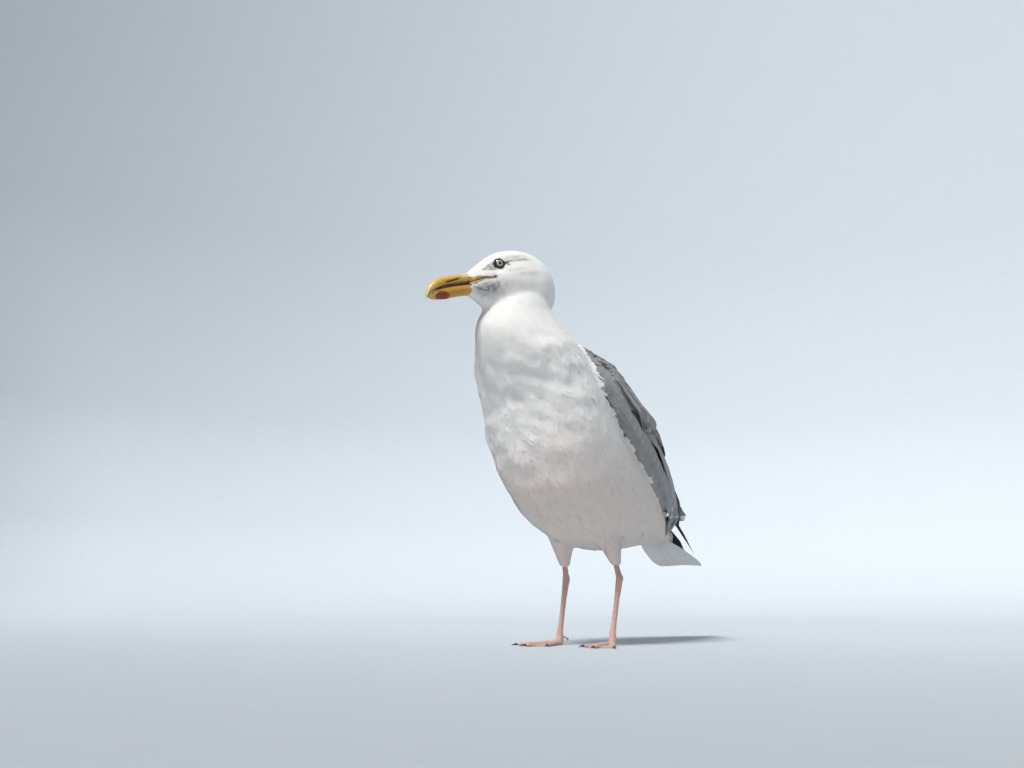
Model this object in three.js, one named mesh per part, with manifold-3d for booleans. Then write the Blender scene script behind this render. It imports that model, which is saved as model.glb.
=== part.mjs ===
// Adult herring gull, life size, standing on both webbed feet with its head turned to its right.
// Millimetres, +Z up. The body faces -Y, its left side is +X, and the soles lie on z = 0.
import * as THREE from "three";
import { mergeVertices } from "three/addons/utils/BufferGeometryUtils.js";
import Module from "manifold-3d";

const wasm = await Module();
wasm.setup();

const rad = THREE.MathUtils.degToRad;
const mix = THREE.MathUtils.lerp;
const ease = THREE.MathUtils.smoothstep;
const vec = (x, y, z) => new THREE.Vector3(x, y, z);

// ---- Driving dimensions ----
const GAP = 0.35; // between neighbouring pieces
const CLEAR = 0.9; // between the layers of the coat
const HEAD_YAW = rad(20); // to the bird's right
const HEAD_PITCH = rad(15); // bill below level
const EYES_AT = { y: -130, z: 374 }; // midpoint between the eyes, before the head is turned
const NECK_AXIS_Y = -100; // the head turns about a vertical line here
const EYE = { radius: 6.2, forward: 0, up: 0, side: 13.9 };
const LEG = {
  y: 42, // the toes' root
  side: 33,
  ankleBack: 16,
  soleToAnkle: 72,
  kneeHeight: 132,
  toeOut: rad(9),
};
const TOES = [
  { name: "inner", length: 41, turn: -24, width: 5.4 },
  { name: "middle", length: 53, turn: 0, width: 6 },
  { name: "outer", length: 49, turn: 23, width: 5.2 },
];
const WEB_THICKNESS = 1.4;
const CLAW = { length: 7.5, radius: 1.5 };

// Stations of the body from the folded wing tips to the top of the neck: a point on the back, one on the
// belly (each y, z) and the half width. The sections lie in the plane of the two points and X.
const CARRIER = [
  [275, 134, 269, 118, 17],
  [236, 156, 225, 128, 27],
  [202, 178, 185, 122, 38],
  [164, 203, 139, 110, 49],
  [122, 228, 86, 103, 59],
  [80, 251, 33, 105, 66],
  [39, 272, -17, 120, 68.5],
  [4, 287, -54, 151, 68.5],
  [-19, 299, -81, 196, 66],
  [-34, 310, -100, 240, 62],
  [-45.5, 320, -121, 272, 55],
  [-55, 330, -135, 296, 43],
  [-61.5, 341, -139, 315, 35],
  [-67, 354, -131, 334, 30.5],
  [-75, 364, -118, 350, 23],
];
// Under the folded wings the rump narrows to the tail root faster than they do.
const TRUNK = [
  [240, 130, 237, 119, 13],
  [200, 150, 190, 116, 29],
  [162, 198, 139, 110, 46.5],
  ...CARRIER.slice(4),
];
const NECK_STARTS = 9.6; // stations of CARRIER
const NECK_TURNS = 12.6;

// Stations of the head along its own axis: forward of the eyes, crown, throat, half width.
const HEAD = [
  [-67.5, -25, -29, 2],
  [-65.5, -11.5, -42, 13],
  [-59.8, 2, -51, 22.5],
  [-49, 10.2, -57, 29],
  [-36, 15.4, -60, 31],
  [-22, 16.8, -59.5, 29],
  [-9, 15.5, -56, 25.5],
  [2, 11.6, -50, 21.5],
  [11, 6.9, -42.5, 17.5],
  [20, 1.9, -34.8, 13.8],
  [27, -2.3, -29.6, 10.8],
  [31.8, -5.2, -26.8, 9],
];
// Stations of each half of the bill: forward of the eyes, upper edge, lower edge, half width.
const UPPER_BILL = [
  [32.2, -4.7, -14.6, 8.2],
  [40, -5.3, -14.9, 7.4],
  [48, -5.6, -15.3, 6.7],
  [55.5, -6.1, -15.8, 6],
  [62, -7.2, -16.7, 5.4],
  [68.2, -9.4, -18.1, 4.7],
  [73.2, -12.6, -20.2, 3.9],
  [77, -16.4, -22.8, 2.9],
  [79.4, -20.8, -26, 2],
  [80.2, -25.4, -28.4, 0.8],
];
const LOWER_BILL = [
  [32.2, -15.1, -26.4, 7.8],
  [40.5, -15.4, -26.6, 6.8],
  [48.5, -15.8, -27.2, 5.9],
  [55.5, -16.3, -28.3, 5.2],
  [60.7, -17, -28.9, 4.7],
  [66.6, -18.2, -28.7, 4],
  [71.6, -20, -28.2, 3.1],
  [75, -22, -27.6, 2.2],
  [76.6, -23.7, -26.8, 0.9],
];

// ---- Materials ----
const finish = (color, roughness) =>
  new THREE.MeshStandardMaterial({ color, roughness, metalness: 0 });
const WHITE = finish(0xefefea, 0.9);
const GREY = finish(0xa9adb0, 0.85);
const BLACK = finish(0x26272a, 0.7);
const BILL = finish(0xd9a93c, 0.45);
const PINK = finish(0xd3a79c, 0.6);
const CLAW_BLACK = finish(0x2c2624, 0.5);
const IRIS = finish(0xcfcdbd, 0.15);

// ---- Tools ----
// Catmull-Rom through rows of numbers, with t from 0 to rows.length - 1.
function along(rows, t) {
  const i = Math.min(Math.max(Math.floor(t), 0), rows.length - 2);
  const u = t - i;
  const row = (k) => rows[Math.min(Math.max(k, 0), rows.length - 1)];
  return rows[i].map((b, c) => {
    const [a, d, e] = [row(i - 1)[c], row(i + 1)[c], row(i + 2)[c]];
    return b + 0.5 * u * (d - a + u * (2 * a - 5 * b + 4 * d - e + u * (3 * (b - d) + e - a)));
  });
}

// Evenly spaced numbers from a to b.
const steps = (a, b, count) => Array.from({ length: count + 1 }, (_, i) => mix(a, b, i / count));

// A closed surface over a grid of points whose rows are rings; fans close its two ends.
function loft(rings) {
  const sides = rings[0].length;
  const points = rings.flat();
  const faces = [];
  for (let i = 0; i < rings.length - 1; i++)
    for (let j = 0; j < sides; j++) {
      const [a, b] = [i * sides + j, i * sides + ((j + 1) % sides)];
      faces.push(a, b, b + sides, a, b + sides, a + sides);
    }
  for (const [ring, turned] of [[0, true], [rings.length - 1, false]]) {
    const middle = points.length;
    points.push(rings[ring].reduce((sum, p) => sum.add(p), vec(0, 0, 0)).divideScalar(sides));
    for (let j = 0; j < sides; j++) {
      const [a, b] = [ring * sides + j, ring * sides + ((j + 1) % sides)];
      faces.push(...(turned ? [middle, b, a] : [middle, a, b]));
    }
  }
  return closed(points, faces);
}

// A manifold solid from points and faces, turned so that its faces point out.
function closed(points, faces) {
  const flat = new THREE.BufferGeometry();
  const numbers = points.flatMap((p) => [p.x, p.y, p.z]);
  flat.setAttribute("position", new THREE.Float32BufferAttribute(numbers, 3));
  flat.setIndex(faces);
  return solid(flat);
}

function solid(geometry) {
  const bare = geometry.clone();
  bare.deleteAttribute("normal");
  bare.deleteAttribute("uv");
  const merged = mergeVertices(bare, 1e-4);
  const triVerts = new Uint32Array(merged.index.array);
  const make = () =>
    new wasm.Manifold(
      new wasm.Mesh({ numProp: 3, vertProperties: merged.attributes.position.array, triVerts }),
    );
  const made = make();
  if (made.volume() > 0) return made;
  triVerts.reverse();
  return make();
}

function geometryOf(made) {
  const mesh = made.getMesh();
  const geometry = new THREE.BufferGeometry();
  geometry.setAttribute("position", new THREE.BufferAttribute(mesh.vertProperties, 3));
  geometry.setIndex(new THREE.BufferAttribute(mesh.triVerts, 1));
  const shaded = geometry.toNonIndexed();
  shaded.computeVertexNormals();
  return shaded;
}

const join = (solids) => solids.reduce((a, b) => a.add(b));
const cut = (made, ...tools) => tools.reduce((a, b) => a.subtract(b), made);
const mirrored = (made) => made.mirror([1, 0, 0]);
const largest = (made) => made.decompose().reduce((a, b) => (a.volume() > b.volume() ? a : b));

const bird = new THREE.Group();
function add(name, made, material) {
  const mesh = new THREE.Mesh(geometryOf(made), material);
  mesh.name = name;
  bird.add(mesh);
}

// A sine or cosine bent so that a round section turns squarer as n rises above 2.
const squared = (value, n) => Math.sign(value) * Math.abs(value) ** (2 / n);

// The points of a ring, each from its angle: 0 is the left side and 90 degrees the back.
const ring = (sides, point) =>
  Array.from({ length: sides }, (_, j) => point((2 * Math.PI * j) / sides));

// ---- Body ----
const BODY_SIDES = 26;
const BODY_SQUARE = 2.15;
const SEAM = 0.008; // half the gap between trunk and neck, in stations

// A point on the body's surface, raised by grow along the section.
function bodyPoint(rows, t, angle, grow = 0) {
  const [backY, backZ, bellyY, bellyZ, half] = along(rows, t);
  const reach = Math.hypot(backY - bellyY, backZ - bellyZ) / 2;
  const share = (squared(Math.sin(angle), BODY_SQUARE) * (1 + grow / reach) + 1) / 2;
  const side = (half + grow) * squared(Math.cos(angle), BODY_SQUARE);
  const turn = HEAD_YAW * ease(t, NECK_STARTS, NECK_TURNS) * (rows === CARRIER ? 1 : 0);
  const point = vec(side, mix(bellyY, backY, share) - NECK_AXIS_Y, mix(bellyZ, backZ, share));
  point.applyAxisAngle(vec(0, 0, 1), -turn);
  point.y += NECK_AXIS_Y;
  return point;
}

function bodyLoft(rows, from, to, count, grow = 0) {
  return loft(
    steps(from, to, count).map((t) => ring(BODY_SIDES, (a) => bodyPoint(rows, t, a, grow))),
  );
}

// The trunk's rows drop one station of the carrier's.
const trunkEnd = NECK_STARTS - CARRIER.length + TRUNK.length;
const trunk = bodyLoft(TRUNK, 0, trunkEnd - SEAM, 18);
const trunkTool = bodyLoft(TRUNK, -0.02, trunkEnd, 18, GAP);

// ---- Head ----
const head = new THREE.Object3D();
head.position.set(0, NECK_AXIS_Y, 0);
head.rotation.z = -HEAD_YAW;
const face = new THREE.Object3D(); // x to its left, -y forward, z up, tilted down by the pitch
face.position.set(0, EYES_AT.y - NECK_AXIS_Y, EYES_AT.z);
face.rotation.x = HEAD_PITCH;
head.add(face);
head.updateMatrixWorld(true);

// A point given as forward of the eyes, up and left, in the bird's frame.
const onFace = (forward, up, left) => vec(left, -forward, up).applyMatrix4(face.matrixWorld);

function headLoft(rows, sides, count, grow = 0, square = 2.1) {
  return loft(
    steps(0, rows.length - 1, count).map((t, i) => {
      const [forward, top, bottom, half] = along(rows, t);
      const end = (i === 0 ? -grow : 0) + (i === count ? grow : 0);
      return ring(sides, (a) =>
        onFace(
          forward + end,
          (top + bottom) / 2 + ((top - bottom) / 2 + grow) * squared(Math.sin(a), square),
          (half + grow) * squared(Math.cos(a), square),
        ),
      );
    }),
  );
}

const headWhole = headLoft(HEAD, 22, 17);
const headTool = headLoft(HEAD, 22, 17, GAP);
const upperBill = headLoft(UPPER_BILL, 12, 12, 0, 2.3);
const lowerBill = headLoft(LOWER_BILL, 12, 10, 0, 2.2);

function eyeball(side, grow) {
  const ball = new THREE.SphereGeometry(EYE.radius + grow, 14, 8);
  ball.rotateZ(Math.PI / 2); // a pole faces sideways
  const centre = onFace(EYE.forward, EYE.up, side * EYE.side);
  ball.rotateZ(-HEAD_YAW);
  ball.translate(centre.x, centre.y, centre.z);
  return solid(ball);
}
const eyes = { left: eyeball(1, 0), right: eyeball(-1, 0) };
const sockets = [eyeball(1, GAP), eyeball(-1, GAP)];

const neckWhole = bodyLoft(CARRIER, NECK_STARTS + SEAM, CARRIER.length - 1, 9);

// ---- Folded wings and scapulars: pads that lie on the body ----
function outward(t, angle) {
  const d = 0.02;
  const acrossIt = bodyPoint(CARRIER, t, angle + d).sub(bodyPoint(CARRIER, t, angle - d));
  const alongIt = bodyPoint(CARRIER, t + d, angle).sub(bodyPoint(CARRIER, t - d, angle));
  return acrossIt.cross(alongIt).normalize();
}

// A pad on the body's left from front to rear, between two edges that are angles as functions of u, which
// runs from 0 at the front to 1. Its under face is lift off the body and it is thick on top of that.
function pad({ front, rear, low, high, lift, thick, rows, columns, grow = 0 }) {
  const layers = steps(0, 1, rows).map((u) => {
    const t = mix(front + 0.1 * grow, rear - 0.1 * grow, u);
    const across = steps(0, 1, columns).map((v) => {
      const angle = rad(mix(low(u) - 2 * grow, high(u) + 2 * grow, v));
      const root = bodyPoint(CARRIER, t, angle);
      const normal = outward(t, angle);
      const under = lift(u, v) - grow;
      return [under, lift(u, v) + thick(u, v) + grow].map((h) =>
        root.clone().addScaledVector(normal, h),
      );
    });
    return [...across.map((p) => p[1]), ...across.map((p) => p[0]).reverse()];
  });
  return loft(layers);
}

const hump = (v) => Math.sin(Math.PI * v);
const roundOff = (u) => 26 * ease(u, 0.84, 1.04); // narrows a pad toward its end, in degrees

// Wing: from the bend beside the breast to the tips of the tertials, fullest behind the bend.
const WING_EDGE = 1.4;
const WING_BULGE = 16.5;
const wingShape = {
  front: 9.2,
  rear: 1.1,
  low: (u) => {
    const bend = 14 * (1 - ease(u, 0, 0.14));
    const fall = 12 * ease(u, 0, 0.4) + 26 * ease(u, 0.35, 0.9);
    return 24 + bend - fall + roundOff(u);
  },
  high: (u) => 54 + 32 * ease(u, 0, 0.3) - 0.3 * roundOff(u),
  lift: () => CLEAR,
  thick: (u, v) => {
    const full = ease(u, -0.02, 0.27) * (1 - 0.92 * ease(u, 0.45, 1));
    return WING_EDGE + WING_BULGE * full * hump(0.1 + 0.78 * v);
  },
  rows: 18,
  columns: 7,
};
const wing = pad(wingShape);
const wingTool = pad({ ...wingShape, grow: GAP });

// How far the wing's outer face stands off the body.
function wingHeight(t, angle) {
  const u = (t - wingShape.front) / (wingShape.rear - wingShape.front);
  if (u < 0 || u > 1) return 0;
  const v = (angle - wingShape.low(u)) / (wingShape.high(u) - wingShape.low(u));
  return CLEAR + wingShape.thick(u, Math.min(Math.max(v, 0), 1));
}

// Scapulars: the shoulder feathers over the wing's upper part, which meet along the back.
const scapularShape = {
  front: 9.45,
  rear: 3,
  low: (u) => 52 - 20 * hump(0.08 + 0.84 * u) + roundOff(u),
  high: () => 89.2,
  lift: (u, v) => {
    const t = mix(scapularShape.front, scapularShape.rear, u);
    return 2 * CLEAR + wingHeight(t, mix(scapularShape.low(u), scapularShape.high(u), v));
  },
  thick: (u, v) => 1 + 3.4 * hump(0.1 + 0.8 * u) * hump(0.1 + 0.8 * v),
  rows: 12,
  columns: 6,
};
const scapulars = cut(pad(scapularShape), wingTool);

// ---- Tail ----
// Its root and tip are given as y, z. The tip is arched, and its corners are rounded.
const TAIL = {
  root: [172, 141],
  tip: [296, 98],
  half: [24, 38],
  thickness: [7, 2.4],
  arch: 5,
};
function tailSection(s, grow) {
  const half = mix(...TAIL.half, s) * (1 - 0.35 * ease(s, 0.9, 1.06)) + grow;
  const thick = mix(...TAIL.thickness, ease(s, 0, 0.5)) / 2 + grow;
  return ring(18, (a) => {
    const across = squared(Math.cos(a), 3);
    return vec(
      half * across,
      mix(TAIL.root[0], TAIL.tip[0], s) + 1.5 * (1 - across * across),
      mix(TAIL.root[1], TAIL.tip[1], s) + thick * Math.sin(a) - TAIL.arch * s * across * across,
    );
  });
}
const tailStations = [0, 0.25, 0.5, 0.8, 0.92, 0.97, 1];
const tail = cut(loft(tailStations.map((s) => tailSection(s, 0))), trunkTool);
const tailTool = loft([-0.01, ...tailStations, 1.01].map((s) => tailSection(s, GAP)));

// ---- Primaries: the long wing tips, stepped where each feather ends, crossing over the tail ----
const PRIMARIES = {
  root: vec(27, 190, 156),
  count: 4,
  longest: 142,
  step: 18, // each feather ends this much before the next
  width: 29,
  thick: 1.5,
  down: rad(20),
  in: rad(8.2),
};
function primaries() {
  const back = vec(-Math.sin(PRIMARIES.in), Math.cos(PRIMARIES.in), 0)
    .multiplyScalar(Math.cos(PRIMARIES.down))
    .setZ(-Math.sin(PRIMARIES.down));
  const up = vec(-0.62, 0.22, 0.76).normalize(); // across the vanes
  const out = up.clone().cross(back).normalize();
  const feathers = Array.from({ length: PRIMARIES.count }, (_, i) =>
    loft(
      [0, 0.5, 0.84, 0.94, 1].map((s) => {
        const half = (PRIMARIES.width / 2) * (1 - 0.6 * s) * (1 - 0.7 * ease(s, 0.84, 1.03));
        const centre = PRIMARIES.root
          .clone()
          .addScaledVector(back, (PRIMARIES.longest - i * PRIMARIES.step) * s)
          .addScaledVector(up, 1.2 * i)
          .addScaledVector(out, -0.7 * i);
        return ring(8, (a) =>
          centre
            .clone()
            .addScaledVector(up, half * Math.cos(a))
            .addScaledVector(out, (PRIMARIES.thick - 0.5 * s) * Math.sin(a)),
        );
      }),
    ),
  );
  return join(feathers);
}
const primariesLeft = largest(cut(primaries(), wingTool, trunkTool, tailTool));

// ---- Legs ----
const ankle = vec(LEG.side + 1, LEG.y + LEG.ankleBack, LEG.soleToAnkle);
const toeRoot = vec(LEG.side, LEG.y, 6);
const kneeIn = vec(LEG.side - 5, LEG.y - 8, LEG.kneeHeight);

// A limb along straight stretches: rows of a centre and the half widths across and fore-and-aft.
function limb(rows, sides, count) {
  const numbers = rows.map(([p, across, fore]) => [p.x, p.y, p.z, across, fore]);
  return loft(
    steps(0, rows.length - 1, count).map((t) => {
      const [x, y, z, across, fore] = along(numbers, t);
      return ring(sides, (a) => vec(x + across * Math.cos(a), y + fore * Math.sin(a), z));
    }),
  );
}
const between = (a, b, s) => a.clone().lerp(b, s);
const thighRows = [
  [kneeIn, 17, 24],
  [between(kneeIn, ankle, 0.35), 12, 16],
  [between(kneeIn, ankle, 0.65), 7.5, 9.5],
  [between(kneeIn, ankle, 0.78), 5, 6],
];
const shankRows = [
  [between(kneeIn, ankle, 0.785), 3.1, 3.6],
  [between(kneeIn, ankle, 0.92), 3.2, 3.8],
  [ankle, 3.9, 5.2],
  [between(ankle, toeRoot, 0.12), 3.2, 4.8],
  [between(ankle, toeRoot, 0.4), 2.5, 3.9],
  [between(ankle, toeRoot, 0.75), 2.6, 4.1],
  [between(ankle, toeRoot, 0.88), 3.3, 4.4],
];
const shankEnd = shankRows.at(-1)[0].z;

// A toe points forward of the bird, turned outward.
const toeForward = (turn) => vec(Math.sin(turn), -Math.cos(turn), 0);
const toeSide = (turn) => vec(Math.cos(turn), Math.sin(turn), 0);

// Toes lie flat on z = 0: rounded above, level below. Each row is a share of the length and one of the
// half width, which swells at the joints.
const TOE_ROWS = [
  [-0.09, 0.75],
  [0.02, 1.1],
  [0.28, 0.82],
  [0.36, 0.95],
  [0.62, 0.72],
  [0.7, 0.85],
  [0.93, 0.66],
  [1, 0.3],
];
function toe(root, length, width, turn) {
  const forward = toeForward(turn);
  const side = toeSide(turn);
  return loft(
    TOE_ROWS.map(([s, swell]) =>
      ring(8, (a) => {
        const half = (width / 2) * swell;
        const centre = root.clone().addScaledVector(forward, s * length);
        const up = Math.max(0, half * 1.15 * (1 + Math.sin(a)) - 0.25 * half);
        return centre.addScaledVector(side, half * Math.cos(a)).setZ(up);
      }),
    ),
  );
}

function foot() {
  const root = vec(LEG.side, LEG.y, 0);
  const ends = TOES.map((d) => {
    const turn = rad(d.turn) + LEG.toeOut;
    return { ...d, turn, tip: toeForward(turn).multiplyScalar(d.length * 0.93).add(root) };
  });
  const web = new THREE.Shape();
  web.moveTo(root.x, root.y + 2);
  web.lineTo(ends[0].tip.x, ends[0].tip.y);
  for (const [from, to] of [[ends[0], ends[1]], [ends[1], ends[2]]]) {
    const sag = between(from.tip, to.tip, 0.5).lerp(root, 0.26);
    web.quadraticCurveTo(sag.x, sag.y, to.tip.x, to.tip.y);
  }
  web.closePath();
  const sheet = new THREE.ExtrudeGeometry(web, {
    depth: WEB_THICKNESS,
    bevelEnabled: false,
    curveSegments: 6,
  });
  const heel = limb(
    [
      [vec(root.x, root.y + 1, 0), 3.6, 5],
      [vec(root.x, root.y + 1.5, 6), 4, 5.2],
      [vec(root.x + 0.2, root.y + 1.9, shankEnd - GAP), 3.3, 4.4],
    ],
    10,
    3,
  );
  const hindToe = limb(
    [
      [vec(root.x - 3, root.y + 3, 9.5), 2, 2],
      [vec(root.x - 4.5, root.y + 8, 8), 2, 1.8],
      [vec(root.x - 5, root.y + 11, 4.5), 1.5, 1.5],
    ],
    6,
    3,
  );
  const toes = ends.map((d) => toe(root, d.length, d.width, d.turn));
  return { made: join([solid(sheet), heel, hindToe, ...toes]), ends, root };
}

// A claw ahead of the toe, curved down to the ground.
function claw(from, turn) {
  const forward = toeForward(turn);
  const side = toeSide(turn);
  return loft(
    steps(0, 1, 3).map((s) =>
      ring(6, (a) => {
        const radius = CLAW.radius * (1 - 0.8 * s);
        return from
          .clone()
          .addScaledVector(forward, CLAW.length * s)
          .addScaledVector(side, radius * Math.cos(a))
          .setZ(1.8 + 0.8 * hump(s) - 1.4 * s + radius * Math.sin(a));
      }),
    ),
  );
}

// ---- Assembly ----
const { made: leftFoot, ends, root: footRoot } = foot();
const thigh = cut(limb(thighRows, 14, 7), trunkTool);
const shank = limb(shankRows, 10, 11);

add("trunk", trunk, WHITE);
add("neck", cut(neckWhole, headTool), WHITE);
add("head", cut(headWhole, ...sockets), WHITE);
add("upper_bill", cut(upperBill, headTool), BILL);
add("lower_bill", cut(lowerBill, headTool), BILL);
add("eye_left", eyes.left, IRIS);
add("eye_right", eyes.right, IRIS);
add("tail", tail, WHITE);
add("primaries_left", primariesLeft, BLACK);
add("primaries_right", mirrored(primariesLeft), BLACK);
for (const [side, place] of [["left", (made) => made], ["right", mirrored]]) {
  add(`wing_${side}`, place(wing), GREY);
  add(`scapulars_${side}`, place(scapulars), GREY);
  add(`thigh_${side}`, place(thigh), WHITE);
  add(`shank_${side}`, place(shank), PINK);
  add(`foot_${side}`, place(leftFoot), PINK);
  for (const end of ends) {
    const from = toeForward(end.turn)
      .multiplyScalar(end.length + GAP)
      .add(footRoot);
    add(`claw_${end.name}_${side}`, place(claw(from, end.turn)), CLAW_BLACK);
  }
}

// The origin is on the floor, under the middle of the bird's box.
const box = new THREE.Box3().setFromObject(bird);
bird.position.set(-(box.min.x + box.max.x) / 2, -(box.min.y + box.max.y) / 2, -box.min.z);

export default bird;
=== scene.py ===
"""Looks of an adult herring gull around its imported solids: one skin, a coat of feather vanes over it, the
flight feathers, eyes, bill, legs and claws. Metres, in the frame's axes: it faces -Y and its left is +X."""

import heapq
import math

import bpy
import numpy as np
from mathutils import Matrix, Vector
from mathutils.bvhtree import BVHTree
from mathutils.kdtree import KDTree


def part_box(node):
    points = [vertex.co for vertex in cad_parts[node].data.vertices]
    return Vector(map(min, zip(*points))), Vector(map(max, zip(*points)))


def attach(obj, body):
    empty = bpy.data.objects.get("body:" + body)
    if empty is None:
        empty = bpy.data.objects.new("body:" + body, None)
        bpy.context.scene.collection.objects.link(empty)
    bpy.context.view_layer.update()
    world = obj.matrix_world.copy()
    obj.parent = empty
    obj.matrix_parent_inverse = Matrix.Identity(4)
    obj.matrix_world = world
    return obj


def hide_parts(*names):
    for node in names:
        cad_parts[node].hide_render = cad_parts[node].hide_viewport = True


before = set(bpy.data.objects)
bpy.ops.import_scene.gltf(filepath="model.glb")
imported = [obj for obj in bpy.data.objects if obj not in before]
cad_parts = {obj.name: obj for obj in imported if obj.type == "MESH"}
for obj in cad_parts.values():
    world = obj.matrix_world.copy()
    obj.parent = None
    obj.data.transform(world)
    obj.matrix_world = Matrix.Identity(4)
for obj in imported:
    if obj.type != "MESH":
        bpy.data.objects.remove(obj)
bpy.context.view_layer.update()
MM = 0.001
rng = np.random.default_rng(11)

# ---- Looks ----
WHITE = (0.83, 0.83, 0.81)
# Painted shade: a darker, warm white for the low body, as if lit by warm light bounced from below.
WARM_PAINTED_SHADE = (0.72, 0.64, 0.595)
# The grey of the head's dusky marks, which also paints shade under the chin.
DUSKY_AND_SHADE = (0.20, 0.20, 0.20)
GREY = (0.285, 0.295, 0.30)
# The scapulars' darker grey: partly their own tone, partly painted shade.
GREY_WITH_PAINTED_SHADE = (0.195, 0.20, 0.20)
BLACK = (0.018, 0.018, 0.021)

# The body's small feathers, by the way along the body from the bill's root, in mm.
WAY = [0, 14, 30, 60, 100, 150, 220, 320, 450]
LENGTH = [2.8, 4.2, 6.2, 9, 13, 17, 22, 27, 30]
DEPTH = [0.6, 0.8, 1.1, 1.6, 2.1, 2.5, 2.8, 3.0, 3.0]  # of the coat over the skin
SPACING = 0.16  # of a feather's length
BREADTH = 0.2  # half width, of a feather's length
PATCH = 0.003  # a small feather's own square on the colour map

SIGNS = {"left": 1, "right": -1}


# ---- Arrays and meshes ----
def unit(a):
    return a / np.maximum(np.linalg.norm(a, axis=-1, keepdims=True), 1e-12)


def dot(a, b):
    return (a * b).sum(-1)


def ease(x, low, high):
    t = np.clip((x - low) / (high - low), 0, 1)
    return t * t * (3 - 2 * t)


def bell(x, peak, spread):
    return np.exp(-(((x - peak) / spread) ** 2))


def noise(points, wavelength, seed, waves=10):
    """Soft noise between about -1 and 1: a few sine waves in random directions."""
    pick = np.random.default_rng(seed)
    ways = unit(pick.normal(size=(waves, 3))) * pick.uniform(0.6, 1.5, (waves, 1))
    phase = pick.uniform(0, 2 * math.pi, waves)
    return np.sin(points @ ways.T * (2 * math.pi / wavelength) + phase).sum(1) / math.sqrt(2 * waves)


def band(x, low, full, falling, out):
    """0 below low, 1 from full to falling, and 0 again past out."""
    return ease(x, low, full) * (1 - ease(x, falling, out))


def blend(colour, other, share):
    return colour + (np.array(other) - colour) * np.clip(share, 0, 1)[:, None]


def read(items, field, kind=float):
    """A field of a mesh's items, in rows of three."""
    found = np.empty(len(items) * 3, kind)
    items.foreach_get(field, found)
    return found.reshape(-1, 3)


def triangles(mesh):
    mesh.calc_loop_triangles()
    return read(mesh.loop_triangles, "vertices", np.int32)


def paint(mesh, colours):
    layer = mesh.color_attributes.new("Coat", "FLOAT_COLOR", "POINT")
    rows = np.c_[colours, np.ones(len(colours))]
    layer.data.foreach_set("color", rows.astype(np.float32).ravel())


def linked(name, data):
    """A new object in the scene."""
    ob = bpy.data.objects.new(name, data)
    bpy.context.scene.collection.objects.link(ob)
    return ob


def piece(ob, slot, material, *nodes):
    """A visible piece of the bird: its material, its body and the nodes that it replaces; slot is not used.
    """
    ob.data.materials.append(material)
    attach(ob, "root")
    if nodes:
        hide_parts(*nodes)
    return ob


def mesh_object(name, points, polygons, maps=(), colours=None, lie=None):
    """An object from points and a list of arrays of polygons. maps, colours and lie have rows for the points.
    Vanes have lie, the normals of the body under them, and only their first array, the top, is smooth."""
    mesh = bpy.data.meshes.new(name)
    corners = np.concatenate([p.ravel() for p in polygons])
    sizes = np.concatenate([np.full(len(p), p.shape[1]) for p in polygons])
    mesh.vertices.add(len(points))
    mesh.vertices.foreach_set("co", np.asarray(points, np.float32).ravel())
    mesh.loops.add(len(corners))
    mesh.loops.foreach_set("vertex_index", corners.astype(np.int32))
    mesh.polygons.add(len(sizes))
    mesh.polygons.foreach_set("loop_start", (np.cumsum(sizes) - sizes).astype(np.int32))
    rounded = [lie is None or i == 0 for i in range(len(polygons))]
    mesh.polygons.foreach_set("use_smooth", np.repeat(rounded, [len(p) for p in polygons]))
    for label, places in maps:
        layer = mesh.uv_layers.new(name=label, do_init=False)
        layer.uv.foreach_set("vector", places[corners].astype(np.float32).ravel())
    if colours is not None:
        paint(mesh, colours)
    if lie is not None:
        layer = mesh.attributes.new("Lie", "FLOAT_VECTOR", "POINT")
        layer.data.foreach_set("vector", lie.astype(np.float32).ravel())
    mesh.update(calc_edges=True)
    mesh.validate()
    if lie is not None:
        mesh.set_sharp_from_angle(angle=1.4)  # a vane's rim, so that its two sides are shaded apart
    return linked(name, mesh)


def grid(rows, columns, round_rows=False, closed=False):
    """The quads of a grid of points, whose last column may join its first, and whose last row too."""
    i, j = np.meshgrid(np.arange(rows - (not closed)), np.arange(columns - (not round_rows)), indexing="ij")
    here, there = i * columns, (i + 1) % rows * columns
    beside = (j + 1) % columns
    return np.stack([here + j, here + beside, there + beside, there + j], 2).reshape(-1, 4)


NODES = {name: (read(ob.data.vertices, "co"), triangles(ob.data)) for name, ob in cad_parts.items()}


def joined(names):
    """The points and triangles of some nodes, and each triangle's node by its place in names."""
    starts = np.cumsum([0] + [len(NODES[n][0]) for n in names])
    points = np.concatenate([NODES[n][0] for n in names])
    faces = np.concatenate([NODES[n][1] + s for n, s in zip(names, starts)])
    owner = np.repeat(np.arange(len(names)), [len(NODES[n][1]) for n in names])
    return points, faces, owner


def remeshed(name, points, faces, voxel, rounds):
    """One closed mesh around solids, with small gaps between them closed and its steps smoothed."""
    ob = mesh_object(name, points, [faces])
    weld = ob.modifiers.new("weld", "WELD")
    weld.merge_threshold = 1e-6
    grown = ob.modifiers.new("remesh", "REMESH")
    grown.mode = "VOXEL"
    grown.voxel_size = voxel
    soft = ob.modifiers.new("smooth", "SMOOTH")
    soft.factor = 0.5
    soft.iterations = rounds
    ob.update_tag()
    graph = bpy.context.evaluated_depsgraph_get()
    mesh = bpy.data.meshes.new_from_object(ob.evaluated_get(graph))
    bpy.data.objects.remove(ob)
    mesh.name = name
    return mesh


def reshaped(mesh, points, colours):
    """The mesh with its points moved and coloured, and shaded smooth."""
    mesh.vertices.foreach_set("co", points.astype(np.float32).ravel())
    paint(mesh, colours)
    mesh.polygons.foreach_set("use_smooth", np.ones(len(mesh.polygons), bool))
    mesh.update()
    return mesh


# ---- The head's own axes: forward along the head, up and left, from the middle between the eyes ----
def middle(name):
    low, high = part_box(name)
    return np.array((low + high) / 2)


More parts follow.
